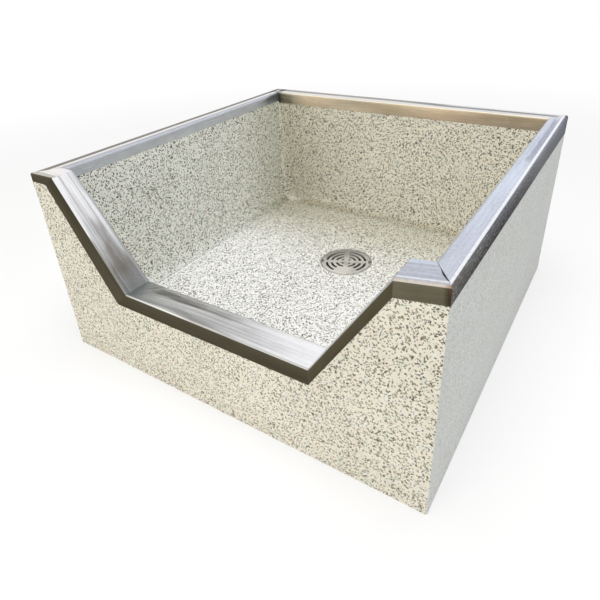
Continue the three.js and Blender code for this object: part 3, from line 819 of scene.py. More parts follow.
def steel_material(name, finish, look):
    """Brushed stainless sheet, read from a cap's own unfolded length and breadth.

    look says how this cap is polished, smeared and stained, and gives its painted reflections
    and highlights, which stand in for what the steel reflects: see cap_looks."""
    graph = Graph(name)
    run, breadth, _ = graph.split(graph.add("UVMap", {"uv_map": "sheet"}))
    seed = look["seed"]
    along = run / look["run"]
    skew_start, skew_end = look["skew"]
    skewed = along * (skew_end - skew_start) + skew_start
    from_edge = {"outer": breadth / MM - skewed, "inner": breadth / MM - look["width"] / MM}
    streak_at = breadth
    if "fan" in look:
        streak_at = breadth / (1.0 - 0.86 * (run / -look["fan"]).exponential())
    fine, wide, broad, smudge, mottle = [
        graph.noise(
            graph.join(run * lengthwise, at * crosswise, seed + number), 1.0, detail, roughness,
        )
        for lengthwise, at, crosswise, number, detail, roughness in (
            (7.0, streak_at, 1500.0, 0, 2.0, 0.6), (5.0, streak_at, 240.0, 3, 2.0, 0.55),
            (9.0, streak_at, 70.0, 7, 2.0, 0.5), (30.0, breadth, 30.0, 9, 3.0, 0.6),
            (210.0, breadth, 330.0, 13, 3.0, 0.7),
        )
    ]
    streaks = (0.55 * wide.rise(0.43, 0.62) + 0.45 * broad.rise(0.44, 0.60)).clamped()
    sway = (smudge - 0.5) * 2.0 + (broad - 0.5) * 2.4

    def painted(tint, metal, bands):
        for stripe in bands:
            near = 1.0
            place, soft = from_edge[stripe["edge"]], stripe["soft"]
            if stripe["sway"]:
                place = place + sway * stripe["sway"]
            if stripe["low"] is not None:
                near = place.rise(stripe["low"] - soft / 2, stripe["low"] + soft / 2)
            if stripe["high"] is not None:
                near = near * place.rise(stripe["high"] + soft / 2, stripe["high"] - soft / 2)
            for limit, way in zip(stripe["along"], (1, -1)):
                if 0.0 < limit < 1.0:
                    fade = 0.06 * way
                    near = near * (along + sway * 0.06).rise(limit - fade, limit + fade)
            near = near * stripe["amount"]
            tint = graph.blend(near, tint, stripe["colour"])
            if stripe["dull"]:
                metal = metal * (1 - near * stripe["dull"])
        return tint, metal

    # the top, from one end to the other: painted reflections, then bands of painted reflection and
    # highlight
    tint, metal = painted(graph.ramp(along, look["top"]), 1.0, look["bands"])
    depth = graph.ramp(along, look["streaks"])
    tint = graph.blend(streaks * depth, tint, (0.42,) * 3, "MULTIPLY")
    for cover in (fine.rise(0.4, 0.7) * 0.12, smudge.rise(0.45, 0.75) * 0.10):
        tint = graph.blend(cover, tint, finish.steel_shade[:])
    for start, end, low, high, pitch in look["ladders"]:
        rungs = (run * (2 * math.pi / pitch) + smudge * 1.5).sine()
        zone = along.rise(start - 0.06, start + 0.04) * along.rise(end + 0.06, end - 0.04)
        for edge, way in ((low, 1.5), (high, -1.5)):
            zone = zone * from_edge["outer"].rise(edge - way, edge + way)
        tint = graph.blend(rungs.rise(-0.6, 0.6) * zone * 0.5, tint, (0.40, 0.40, 0.41))
    # painted highlights and reflections along the folds
    tint, metal = painted(tint, metal, look["folds"])

    # skirts: painted reflections, an upper and a lower colour, each from one end to the other
    for edge, way in (("outer", -1), ("inner", 1)):
        flap = look[edge + "_skirt"]
        place = from_edge[edge] * way
        shade = graph.blend(
            place.rise(flap["top"] + 1, flap["foot"]),
            graph.ramp(along, flap["upper"]), graph.ramp(along, flap["lower"]),
        )
        dulled = graph.blend(1.0, shade, (0.72, 0.71, 0.69), "MULTIPLY")
        worn = streaks * flap["streaks"] + smudge.rise(0.4, 0.7) * 0.25
        shade = graph.blend(worn, shade, dulled)
        cover = place.rise(flap["top"] - flap["soft"], flap["top"] + flap["soft"])
        tint = graph.blend(cover, tint, shade)
        metal = metal * (1 - cover * flap["dull"])

    # fine mottling, whose bright specks are painted glints, then the last bands, the parted seam
    # and the stains
    lower = from_edge["outer"].rise(0.0, -2.0)
    on_top, on_skirt = look["mottle"]
    mottled = lower * (on_skirt - on_top) + on_top
    tint = graph.blend(mottle.rise(0.50, 0.66) * mottled, tint, (0.55,) * 3, "MULTIPLY")
    tint = graph.blend(mottle.rise(0.50, 0.34) * mottled * 0.35, tint, (0.93, 0.94, 0.97))
    tint, metal = painted(tint, metal, look["last"])
    for lean, low, high, open_by in look["seam"]:
        middle = (low + high) / 2
        parted = from_edge["outer"].rise(low, middle) * from_edge["outer"].rise(high, middle)
        to_seam = (look["run"] - breadth * lean - run) / MM
        gap = (to_seam - parted * open_by).rise(0.5, -0.3)
        tint = graph.blend(gap * 0.95, tint, (0.02, 0.017, 0.014))
    for place, reach, stain, amount in look["stains"]:
        near = abs(run - place).rise(reach, reach * 0.25)
        tint = graph.blend(near * smudge.rise(0.34, 0.58) * amount, tint, stain)
    ripple = graph.noise(graph.join(run * 14.0, breadth * 45.0, seed))
    return graph.material(
        Base_Color=tint, Metallic=metal, Specular_IOR_Level=0.0,
        Roughness=0.24 + 0.14 * streaks + 0.06 * fine + 0.14 * lower,
        Normal=graph.bump(ripple, 0.0006, 0.35, graph.bump(fine, 0.00003, 0.5)),
    )


def satin_material(name, finish_tint, scale, rough, dark_under=None):
    """Plain satin steel with faint cloudy wear, on the piece's own place in the sink, and
    painted black under a height, for the shade inside the drain below the strainer."""
    graph = Graph(name)
    point = graph.coordinates()
    cloud = graph.noise(point, scale, 3.0, 0.6)
    grain = graph.noise(point, scale * 14, 2.0)
    worn = [part * 0.62 for part in finish_tint]
    tint = graph.blend(cloud.rise(0.35, 0.7) * 0.5, finish_tint, worn)
    if dark_under is not None:
        height = graph.split(point)[2]
        # painted shade: near black below the strainer's seat, for the dark inside of the drain
        painted_shade_below = height.rise(dark_under + 0.5 * MM, dark_under - 1.5 * MM)
        tint = graph.blend(painted_shade_below, tint, (0.02, 0.019, 0.017))
    return graph.material(
        Base_Color=tint, Metallic=1.0, Roughness=rough + 0.14 * cloud,
        Normal=graph.bump(grain, 0.00004, 0.6),
    )


def strainer_material(finish, drain):
    """Satin plate, turned on its face: faint rings round the middle, a painted darker reflection
    on the back left side and a painted bright reflection at the front."""
    graph = Graph("strainer_steel")
    inputs = {"Vector": graph.coordinates(), "Location": (0, -drain.back, -drain.rim_height)}
    point = graph.add("Mapping", {"vector_type": "POINT"}, inputs)
    cloud = graph.noise(point, 60.0, 3.0, 0.6)
    rings = graph.noise(graph.join(graph.length(point) * 900.0, 0.0, 0.0), 1.0, 1.0)
    x, y, _ = graph.split(point)
    tint = graph.blend(cloud.rise(0.4, 0.68) * 0.5, finish.plate[:], (0.46, 0.455, 0.44))
    # painted reflections: darker towards the back left, bright at the front
    darker_reflected_side = (y * 0.8 - x * 0.6).rise(0.008, 0.034)
    tint = graph.blend(darker_reflected_side * 0.7, tint, (0.36, 0.355, 0.34))
    bright = y.rise(-0.008, -0.022) * abs(x).rise(0.028, 0.016)
    tint = graph.blend(bright * 0.8, tint, (0.96, 0.93, 0.91))
    return graph.material(
        Base_Color=tint, Metallic=0.9, Roughness=0.36 + 0.12 * rings + 0.1 * cloud,
        Normal=graph.bump(rings, 0.00004, 0.5),
    )


def rubber_material(finish):
    graph = Graph("black_rubber")
    cloud = graph.noise(graph.coordinates(), 120.0, 3.0)
    tint = graph.blend(cloud.rise(0.4, 0.8) * 0.5, finish.rubber[:], (0.05, 0.05, 0.048))
    return graph.material(
        Base_Color=tint, Roughness=0.7 + 0.2 * cloud, Normal=graph.bump(cloud, 0.0001, 0.4),
    )


def screen(red, green, blue):
    """A colour as a screen shows it, 0 to 255, as the linear one that a shader takes."""
    return tuple(((part / 255 + 0.055) / 1.055) ** 2.4 for part in (red, green, blue))


def stops(*rows):
    """Ramp stops from (share of the run, red, green, blue) as a screen shows them."""
    return [(place, screen(*tint)) for place, *tint in rows]


def greys(*rows):
    return [(place, (level,) * 3) for place, level in rows]


def band(low, high, tint, amount=1.0, soft=1.0, along=(0, 1), edge="outer", sway=0.0, dull=0.0):
    """A stripe along a cap, mostly painted reflection and highlight: millimetres inwards from its
    outer or inner fold, and shares of its run; None leaves a side open. tint is as a screen
    shows it, or a finish of the panel. sway is how far the streaks push its edges, and dull how
    much of the metal's own reflection gives way to the painted colour."""
    return {
        "low": low, "high": high, "colour": screen(*tint) if max(tint) > 1 else tint,
        "amount": amount, "soft": soft, "along": along, "edge": edge, "sway": sway, "dull": dull,
    }


def skirt(upper, lower, foot, top=0.0, streaks=0.4, soft=0.4, dull=0.85):
    """A skirt's painted reflection colours near the fold and at the foot, by shares of the run;
    foot and top are millimetres below the fold, and dull is how much of the metal's own
    reflection gives way to the painted colour."""
    return {
        "upper": upper, "lower": lower, "foot": foot, "top": top, "streaks": streaks,
        "soft": soft, "dull": dull,
    }


def wall_looks():
    """The caps on the three plain walls: see cap_looks."""
    weld = screen(60, 56, 52)
    side_inner = skirt(
        stops((0, 193, 197, 208), (0.8, 198, 202, 213), (0.97, 164, 167, 175)),
        stops((0, 205, 210, 217), (0.8, 203, 208, 215), (0.97, 158, 162, 167)),
        19, top=-0.4, dull=0.6,
    )
    return {
        "cap_left_wall": {
            "seed": 1.0, "inner_skirt": side_inner, "stains": [(0.578, 0.009, weld, 0.85)],
            "top": stops((0, 240, 235, 230), (0.2, 245, 244, 243), (1, 246, 247, 249)),
            "streaks": greys((0, 0.12)),
            "bands": [
                band(3, 15, (132, 128, 123), 0.97, 4, sway=1.2, dull=0.85),
                band(7, 13, (104, 98, 93), 0.6, 3, sway=1.2),
                band(-6.5, -4.2, (205, 206, 212), 0.7, 1.5, edge="inner"),
                band(-3.8, -0.4, (172, 172, 178), 0.85, 1.2, edge="inner"),
            ],
            "folds": [band(-0.6, 1.4, (214, 214, 214), 0.9)],
            "last": [band(0, 19, (78, 82, 80), 0.85, 2, (0.89, 1), "inner", dull=0.4)],
        },
        "cap_back_wall": {
            "seed": 2.0, "stains": [(0.026, 0.010, weld, 0.85)],
            "top": stops((0, 238, 235, 230), (0.5, 234, 233, 233), (1, 238, 237, 240)),
            "bands": [
                band(-1, 6, (162, 160, 157), 0.9, 3, (0, 0.55), sway=1, dull=0.85),
                band(6, 20, (146, 142, 136), 0.95, 4, (0, 0.66), sway=1.2, dull=0.85),
                band(12, 24, (134, 133, 134), 0.95, 4, (0.55, 1), sway=1.2, dull=0.85),
            ],
            "inner_skirt": skirt(
                stops(
                    (0, 188, 182, 162), (0.09, 190, 183, 163), (0.17, 242, 224, 196),
                    (0.35, 188, 174, 152), (0.5, 205, 188, 159), (0.65, 236, 213, 183),
                    (0.8, 180, 163, 137), (1, 176, 160, 134),
                ),
                stops(
                    (0, 166, 163, 142), (0.09, 168, 165, 144), (0.17, 216, 197, 170),
                    (0.35, 219, 205, 180), (0.5, 190, 174, 149), (0.65, 198, 177, 152),
                    (0.8, 172, 157, 136), (1, 164, 150, 130),
                ),
                23, streaks=0.6, dull=0.6,
            ),
            "last": [
                band(0, 23, (78, 73, 56), 1.0, 2, (0, 0.09), "inner", dull=0.4),
                band(-2.2, 1.8, (240, 232, 214), 0.9, 1.4, (0.10, 1), "inner"),
                band(2.2, 4.2, (188, 170, 150), 0.5, 1.4, (0.12, 1), "inner"),
            ],
        },
        "cap_right_wall": {
            "seed": 3.0, "inner_skirt": side_inner, "stains": [(0.004, 0.012, weld, 0.6)],
            "skew": (2.8, 0.0), "mottle": (0.30, 0.55),
            "top": stops(
                (0, 217, 222, 235), (0.3, 210, 219, 236), (0.55, 218, 226, 243),
                (1, 206, 211, 225),
            ),
            "bands": [
                band(4.5, 13.5, (150, 154, 174), 0.95, 4, (0.05, 0.42), sway=2, dull=0.5),
                band(-3, -1.2, (150, 155, 172), 0.55, 0.8, edge="inner"),
            ],
            "folds": [
                band(1.4, 4.8, (246, 247, 250), 0.95, 0.6),
                band(-0.3, 2.2, (238, 242, 250), 0.9, 0.8, edge="inner"),
            ],
            "outer_skirt": skirt(
                stops(
                    (0, 120, 122, 136), (0.25, 136, 138, 148), (0.5, 130, 131, 137),
                    (0.74, 103, 104, 110), (1, 112, 109, 106),
                ),
                stops(
                    (0, 120, 122, 130), (0.35, 120, 121, 124), (0.5, 94, 94, 94),
                    (0.72, 62, 62, 60), (0.86, 62, 61, 58), (1, 100, 95, 90),
                ),
                22, top=-0.8, streaks=0.5, soft=0.35,
            ),
        },
    }


def front_looks(finish):
    """The caps along the drop front, from left to right: see cap_looks."""
    # the front skirts' dark olive is painted reflection, a little darker at the foot; the cream is
    # the painted fold highlight
    film, cream = tuple(finish.skirt), tuple(finish.fold_sheen_tint)
    darker_reflection_foot = tuple(part * 0.86 for part in film)
    dark_reflection_skirt = skirt([(0.0, film)], [(0.0, darker_reflection_foot)], 20, top=0.2)
    return {
        "cap_left_shoulder": {
            "seed": 4.0, "outer_skirt": dark_reflection_skirt, "skew": (0.2, 1.8),
            "top": stops((0, 240, 234, 229), (0.5, 252, 248, 246), (1, 250, 247, 245)),
            "bands": [band(2.5, 8, (188, 183, 176), 0.8, 3, sway=1.5)],
            "folds": [band(-1.0, 2.4, (190, 182, 168), 0.8, 1.5)],
        },
        "cap_left_slope": {
            "seed": 5.0,
            "top": stops(
                (0, 252, 252, 254), (0.34, 248, 248, 251), (0.5, 222, 222, 224),
                (0.66, 182, 181, 180), (0.8, 146, 143, 139), (1, 140, 144, 145),
            ),
            "streaks": greys((0, 0.35), (0.5, 0.75), (0.85, 0.4)),
            "bands": [
                band(26.5, 30, (186, 188, 192), 0.55, 2, (0, 0.5)),
                band(10.5, 13.5, (176, 175, 174), 0.55, 2, (0, 0.72)),
                band(6.5, 9.5, (163, 166, 168), 0.7, 2, (0.68, 0.9)),
                band(-9, -6, (224, 226, 230), 0.6, 2, (0, 0.7), "inner"),
                band(-5, 0, (178, 180, 185), 0.7, 2, edge="inner"),
            ],
            "folds": [
                band(0.4, 3.0, (246, 246, 244), 0.95, 0.7, (0, 0.52)),
                band(0.4, 3.0, (158, 156, 150), 0.8, 0.7, (0.52, 1)),
            ],
            "last": [
                band(8, 22, (104, 96, 88), 0.55, 6, (0.60, 0.86), sway=6),
                band(16, 26, (120, 112, 104), 0.45, 5, (0.40, 0.66), sway=6),
            ],
            "outer_skirt": skirt(
                stops((0, 72, 66, 52), (1, 84, 79, 64)), stops((0, 80, 75, 60), (1, 90, 85, 70)),
                20, top=0.2,
            ),
        },
        "cap_threshold": {
            "seed": 6.0, "outer_skirt": dark_reflection_skirt, "fan": 0.04,
            "ladders": [(0.22, 0.86, 7, 21, 0.0034)],
            "top": stops(
                (0, 172, 175, 175), (0.1, 210, 212, 211), (0.22, 224, 224, 221),
                (0.36, 208, 208, 205), (0.5, 204, 204, 203), (0.65, 222, 222, 223),
                (0.8, 245, 245, 247), (1, 252, 252, 254),
            ),
            "streaks": greys((0, 0.85), (0.6, 0.85), (0.85, 0.30), (1, 0.18)),
            "bands": [
                band(27, 38.5, (150, 147, 142), 0.9, 3, (0.09, 0.40), sway=3),
                band(29, 38.5, (166, 164, 160), 0.6, 3, (0.40, 0.58), sway=3),
            ],
            "folds": [
                band(0.4, 3.2, (254, 252, 244), 0.95, 0.7, (0, 0.40)),
                band(0.4, 3.2, (222, 218, 208), 0.9, 0.7, (0.40, 0.62)),
                band(0.4, 3.2, (204, 202, 196), 0.9, 0.7, (0.62, 1)),
            ],
        },
        "cap_right_slope": {
            "seed": 7.0, "top": stops((0, 228, 228, 230), (1, 226, 228, 232)),
            "folds": [band(0.8, 3.2, (200, 196, 189), 0.9, 0.8, (0, 0.6))],
            "outer_skirt": skirt(stops((0, 91, 85, 69)), stops((0, 86, 80, 64)), 20, top=0.2),
        },
        "cap_right_shoulder": {
            "seed": 8.0, "stains": [(0.0528, 0.003, tuple(finish.rust), 0.3)],
            "seam": [(0.763, 1.0, 26.0, 2.2)], "mottle": (0.26, 0.0),
            "top": stops((0, 197, 200, 213), (1, 200, 204, 216)),
            "bands": [
                band(6.4, 10.5, (181, 184, 197), 0.75, 1.6, sway=0.6),
                band(3.9, 5.9, (234, 239, 244), 0.95, 0.8),
                band(1.4, 3.6, (200, 197, 200), 0.8, 0.8),
                band(-7, None, (220, 229, 243), 0.85, 2, edge="inner", sway=1),
            ],
            # the cream line along the fold is a painted highlight
            "folds": [
                band(-2.6, 1.0, cream, 0.95, 0.8),
                band(-2.6, 1.0, (170, 134, 98), 0.7, 0.8, (0.88, 1)),
            ],
            # the skirt's painted reflection darkens towards the right end, near black at the foot
            # there: partly painted shade, partly rust
            "outer_skirt": skirt(
                stops((0, 115, 110, 94), (0.84, 115, 110, 94), (0.93, 84, 72, 57)),
                stops((0, 110, 105, 90), (0.82, 108, 103, 88), (0.95, 48, 42, 34)),
                18, top=2.6,
            ),
        },
    }


def cap_looks(finish):
    """How each cap looks, in the order in which it is painted: the top's colours by shares of
    the run, which are painted reflections, bands on it, mostly painted reflections and
    highlights, its streaks, ladders (marks like rungs: from and to in shares of the run, from
    and to across in millimetres, pitch in metres), bands along the folds, painted highlights
    and reflections, the two skirts, whose colours are painted reflections, mottle (how
    speckled the top and the outer skirt are; the bright specks are painted glints), the last
    bands, a seam that has parted (its lean, from and to across, how far, in millimetres) and
    stains (metres along, reach, colour, amount). skew is how far inwards the outer fold's
    painted highlight lies at the start and the end, in millimetres, and fan is the length, in
    metres, over which streaks spread out from the start of the run."""
    looks = {**wall_looks(), **front_looks(finish)}
    plain = {
        "streaks": greys((0, 0.20), (1, 0.25)), "bands": [], "folds": [], "last": [],
        "stains": [], "seam": [], "ladders": [], "skew": (0.0, 0.0), "mottle": (0.12, 0.0),
        "outer_skirt": looks["cap_right_wall"]["outer_skirt"],
        "inner_skirt": skirt(stops((0, 185, 186, 190)), stops((0, 170, 171, 175)), 22, dull=0.6),
    }
    return {name: {**plain, **look} for name, look in looks.items()}


# ---------- operators ----------
def face_at(bm, z):
    """The level face nearest to a height."""
    return min(bm.faces, key=lambda face: abs(face.calc_center_median().z - z))


def sweep_levels(bm, levels):
    """Joins rounded rectangles, given from the top down, into one wall; the top stays shut
    and the edges of the lowest rectangle come back."""
    for low, high, radius, z in levels:
        middle, half = (low + high) / 2, (high - low) / 2
        place = Matrix.Translation((*middle, z)) @ Matrix.Diagonal((*half, 1, 1))
        made = bmesh.ops.create_grid(bm, x_segments=1, y_segments=1, size=1.0, matrix=place)
        rounded(bm, made["verts"], radius, CORNER_STEPS, "VERTICES")
        sides = sorted(face_at(bm, z).edges, key=lambda edge: edge.calc_length())[-4:]
        bmesh.ops.subdivide_edges(bm, edges=sides, cuts=WALL_CUTS)
    faces = [face_at(bm, level[-1]) for level in levels]
    loops = [list(face.edges) for face in faces]
    bmesh.ops.delete(bm, geom=faces[1:], context="FACES_ONLY")
    for upper, lower in zip(loops, loops[1:]):
        bmesh.ops.bridge_loops(bm, edges=upper + lower)
    return loops[-1]


def basin_hollow(sizes, drain):
    """The basin as a solid: upright rounded corners, coved foot, floor falling to the drain."""
    bm = bmesh.new()

    def level(z, inset, radius):
        side, front, back = [
            wall_thickness(sizes, curb, z) + inset
            for curb in (sizes.side_curb, sizes.front_curb, sizes.back_curb)
        ]
        low = Vector((-sizes.width / 2 + side, -sizes.depth / 2 + front))
        high = Vector((sizes.width / 2 - side, sizes.depth / 2 - back))
        return low, high, radius, z

    levels = [level(sizes.height + OVERRUN, 0.0, sizes.corner_top)]
    for step in range(COVE_STEPS + 1):
        turn = math.pi / 2 * step / COVE_STEPS
        inset = sizes.cove * (1 - math.cos(turn))
        z = sizes.floor_edge + sizes.cove * (1 - math.sin(turn))
        levels.append(level(z, inset, sizes.corner_foot - inset))
    edge = sweep_levels(bm, levels)
    floor = bmesh.ops.extrude_edge_only(bm, edges=edge)["geom"]
    rim = drain.strainer_radius + drain.play + drain.rim_wall + drain.gap
    inner = moved_verts(floor)
    for vert in inner:
        bearing = math.atan2(vert.co.y - drain.back, vert.co.x)
        vert.co = (rim * math.cos(bearing), drain.back + rim * math.sin(bearing), drain.rim_height)
    ring = [item for item in floor if isinstance(item, bmesh.types.BMEdge)
            and all(vert in inner for vert in item.verts)]
    bmesh.ops.contextual_create(bm, geom=ring)
    bmesh.ops.recalc_face_normals(bm, faces=bm.faces)
    return bm


def drop_front(sizes, caps):
    """The room over the lowered front, as a solid."""
    deep = wall_thickness(sizes, sizes.front_curb, sizes.sill - caps.sill) + OVERRUN
    rise, tilt = shoulder_plane(sizes)
    top = sizes.height + OVERRUN + tilt * deep
    right = sizes.width / 2 + OVERRUN
    corners = front_corners(sizes, caps)
    level = Vector((0, 1, 0))
    outline = [(corners[0][0], top, level)]
    outline += [(x, z, inwards) for x, z, _, _, inwards in corners]
    outline += [(right, sizes.height + rise * OVERRUN, Vector((0, 1, tilt))), (right, top, level)]
    near, far = [
        [Vector((x, -sizes.depth / 2, z)) + inwards * reach for x, z, inwards in outline]
        for reach in (-OVERRUN, deep)
    ]
    bm = bmesh.new()
    lofted(bm, near, far)
    return bm


def drain_outline(drain, grow):
    """Outside of the drain body from the rim down; grow opens the hole it is cast into."""
    rim = drain.strainer_radius + drain.play + drain.rim_wall
    hub_top = seat_height(drain) - drain.seat_ledge - drain.throat
    hub = drain.hub_bore + drain.hub_wall
    return [
        (rim + grow, drain.rim_height - drain.gap), (rim + grow, hub_top),
        (hub + grow, hub_top - drain.hub_shoulder), (hub + grow, drain.hub_setback),
    ]


def drain_hole(drain):
    """The hole in the casting round the drain body, as a solid."""
    outline = drain_outline(drain, drain.gap)
    top, bottom = drain.rim_height + OVERRUN, -OVERRUN
    outline[0] = (outline[0][0], top)
    outline[-1] = (outline[-1][0], bottom)
    return spun([(0.0, top), *outline, (0.0, bottom)], drain.back)


def seat_height(drain):
    return drain.rim_height - drain.gap - drain.plate - drain.gap


def values_of(context):
    """The panel's values: casting, caps, drain and finishes."""
    scene = context.scene
    return scene.sink_casting, scene.sink_caps, scene.sink_drain, scene.sink_finishes


class SINK_OT_casting(bpy.types.Operator):
    """Cast the terrazzo basin: block, hollow, drop front, cap recesses and drain hole"""

    bl_idname = "sink.casting"
    bl_label = "Terrazzo Casting"

    def execute(self, context):
        sizes, caps, drain, finish = values_of(context)
        bm = box((sizes.width, sizes.depth, sizes.height), (0, 0, sizes.height / 2))
        worn = [edge for edge in bm.edges if min(vert.co.z for vert in edge.verts) < MM]
        rounded(bm, worn, sizes.edge_wear, 3)
        piece = piece_from(bm, "terrazzo_casting", SINK)
        cutters = [basin_hollow(sizes, drain), drop_front(sizes, caps), drain_hole(drain)]
        deep = caps.sheet + caps.clearance
        for name, ends in cap_stations(sizes, caps).items():
            recess = bmesh.new()
            profiles = [
                channel_profile(end, deep, math.tan(sizes.draft), caps.clearance, OVERRUN)
                for end in ends
            ]
            folds = [(INNER_FOLDS, fold_radius(name, caps) - deep)]
            channel(recess, ends, profiles, (-OVERRUN / 2, OVERRUN / 2), folds)
            cutters.append(recess)
        bm = cut_away(piece, cutters)
        smoothed(bm, CASTING_SMOOTH)
        bm.to_mesh(piece.data)
        bm.free()
        dressed(piece, "terrazzo_basin", terrazzo_material(finish, sizes))
        return {"FINISHED"}


class SINK_OT_caps(bpy.types.Operator):
    """Fold the eight runs of stainless cap over the curbs"""

    bl_idname = "sink.caps"
    bl_label = "Stainless Caps"

    def execute(self, context):
        sizes, caps, _, finish = values_of(context)
        looks = cap_looks(finish)
        for name, ends in cap_stations(sizes, caps).items():
            start, end = ends
            look = {
                **looks[name], "run": (end.origin - start.origin).length,
                "width": (start.width + end.width) / 2,
            }
            fold_cap(name, ends, sizes, caps, steel_material(name + "_steel", finish, look))
        return {"FINISHED"}


class SINK_OT_drain(bpy.types.Operator):
    """Turn the drain body and the rubber ring that grips the waste pipe"""

    bl_idname = "sink.drain"
    bl_label = "Drain Body and Seal"

    def execute(self, context):
        _, _, drain, finish = values_of(context)
        rim = drain.strainer_radius + drain.play
        throat = rim - drain.seat_width
        seat = seat_height(drain)
        hub_top = seat - drain.seat_ledge - drain.throat
        body = [
            (drain.hub_bore, drain.hub_setback), (drain.hub_bore, hub_top - drain.hub_shoulder),
            (throat, hub_top), (throat, seat), (rim, seat), (rim, drain.rim_height - drain.gap),
            *drain_outline(drain, 0.0),
        ]
        steel = satin_material("drain_steel", finish.satin[:], 70.0, 0.34, seat)
        self.turned("drain_body", body, "satin_stainless", steel, drain, STEEL_WEAR)
        outer = drain.hub_bore - drain.gap
        low, top = drain.hub_setback, drain.hub_setback + drain.seal_height
        waist, lip = outer - drain.seal_waist, drain.seal_lip
        ring = [
            (drain.pipe_radius, low), (outer, low), (outer, low + lip), (waist, low + 2 * lip),
            (waist, top - 2 * lip), (outer, top - lip), (outer, top), (drain.pipe_radius, top),
        ]
        rubber = rubber_material(finish)
        self.turned("pipe_seal", ring, "seal_rubber", rubber, drain, RUBBER_WEAR)
        return {"FINISHED"}

    @staticmethod
    def turned(node, profile, slot, material, drain, rounding):
        bm = spun([*profile, profile[0]], drain.back)
        rounded(bm, sharp_edges(bm, 40), rounding, 2, clamp=True)
        piece = piece_from(bm, node + "_turned", SINK, TURNED_SMOOTH)
        dressed(piece, node, material)


class SINK_OT_strainer(bpy.types.Operator):
    """Cut the round strainer with its rings of curved slots and two lifting notches"""

    bl_idname = "sink.strainer"
    bl_label = "Drain Strainer"

    def execute(self, context):
        _, _, drain, finish = values_of(context)
        bm = bmesh.new()
        bmesh.ops.create_circle(
            bm, cap_ends=True, segments=PLATE_STEPS, radius=drain.strainer_radius,
        )
        self.raise_plate(bm, 0.0, drain.plate)
        piece = piece_from(bm, "drain_strainer_plate", STRAINER)
        size = (2 * drain.notch_depth, drain.notch_width, 3 * drain.plate)
        cutters = [
            box(size, (side * drain.strainer_radius, 0, drain.plate / 2)) for side in (1, -1)
        ]
        for ring in range(drain.slot_rings):
            cutters += [self.slot(drain, ring, quarter) for quarter in range(4)]
        bm = cut_away(piece, cutters)
        top = drain.plate - 10 * SAME_PLACE
        edges = [
            edge for edge in sharp_edges(bm, 50) if min(vert.co.z for vert in edge.verts) > top
        ]
        rounded(bm, edges, STEEL_WEAR, 2, clamp=True)
        smoothed(bm, CAP_SMOOTH)
        place = Matrix.Translation((0, drain.back, seat_height(drain) + drain.gap))
        bm.transform(place @ Matrix.Rotation(drain.turn, 4, "Z"))
        bm.to_mesh(piece.data)
        bm.free()
        dressed(piece, "drain_strainer", strainer_material(finish, drain))
        return {"FINISHED"}

    @staticmethod
    def raise_plate(bm, low, height):
        """Makes a flat outline into a plate from one height up by another."""
        bmesh.ops.translate(bm, verts=bm.verts, vec=(0, 0, low))
        swept = bmesh.ops.extrude_face_region(bm, geom=bm.faces[:], use_keep_orig=True)["geom"]
        bmesh.ops.translate(bm, verts=moved_verts(swept), vec=(0, 0, height))
        bmesh.ops.recalc_face_normals(bm, faces=bm.faces)

    def slot(self, drain, ring, quarter):
        """A curved slot: a short radial edge spun through its arc, with rounded ends. The
        outer rings stop short of the front arm, on both sides of it."""
        half = drain.slot_width / 2
        radius = drain.first_slot + ring * drain.slot_pitch
        arm = math.asin(drain.cross_bar / 2 / radius)
        short = ring >= drain.slot_rings - drain.short_rings
        stop = max(arm, drain.short_angle) if short else arm
        before = stop if quarter == 3 else arm
        after = stop if quarter == 2 else arm
        sweep = math.pi / 2 - before - after
        bm = bmesh.new()
        near, far = [bm.verts.new((radius + way * half, 0, 0)) for way in (-1, 1)]
        edge = bm.edges.new((near, far))
        bmesh.ops.spin(
            bm, geom=[near, far, edge], cent=(0, 0, 0), axis=(0, 0, 1), angle=sweep,
            steps=max(SLOT_STEPS, int(math.degrees(sweep) * radius * SLOT_STEPS)),
            use_merge=False, use_duplicate=False,
        )
        corners = [vert for vert in bm.verts if len(vert.link_edges) == 2]
        rounded(bm, corners, half * SLOT_ENDS, 4, "VERTICES", True)
        turn = Matrix.Rotation(quarter * math.pi / 2 + before, 3, "Z")
        bmesh.ops.rotate(bm, verts=bm.verts, cent=(0, 0, 0), matrix=turn)
        self.raise_plate(bm, -drain.plate, 3 * drain.plate)
        return bm


class SINK_OT_hidden_steel(bpy.types.Operator):
    """Give the cast-in anchors and lugs their plain mill finish"""

    bl_idname = "sink.hidden_steel"
    bl_label = "Anchors and Lugs"

    def execute(self, context):
        steel = satin_material("mill_steel", context.scene.sink_finishes.mill[:], 90.0, 0.42)
        for name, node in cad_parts.items():
            if "anchor" in name:
                for slot in node.material_slots:
                    slot.material = steel
        return {"FINISHED"}


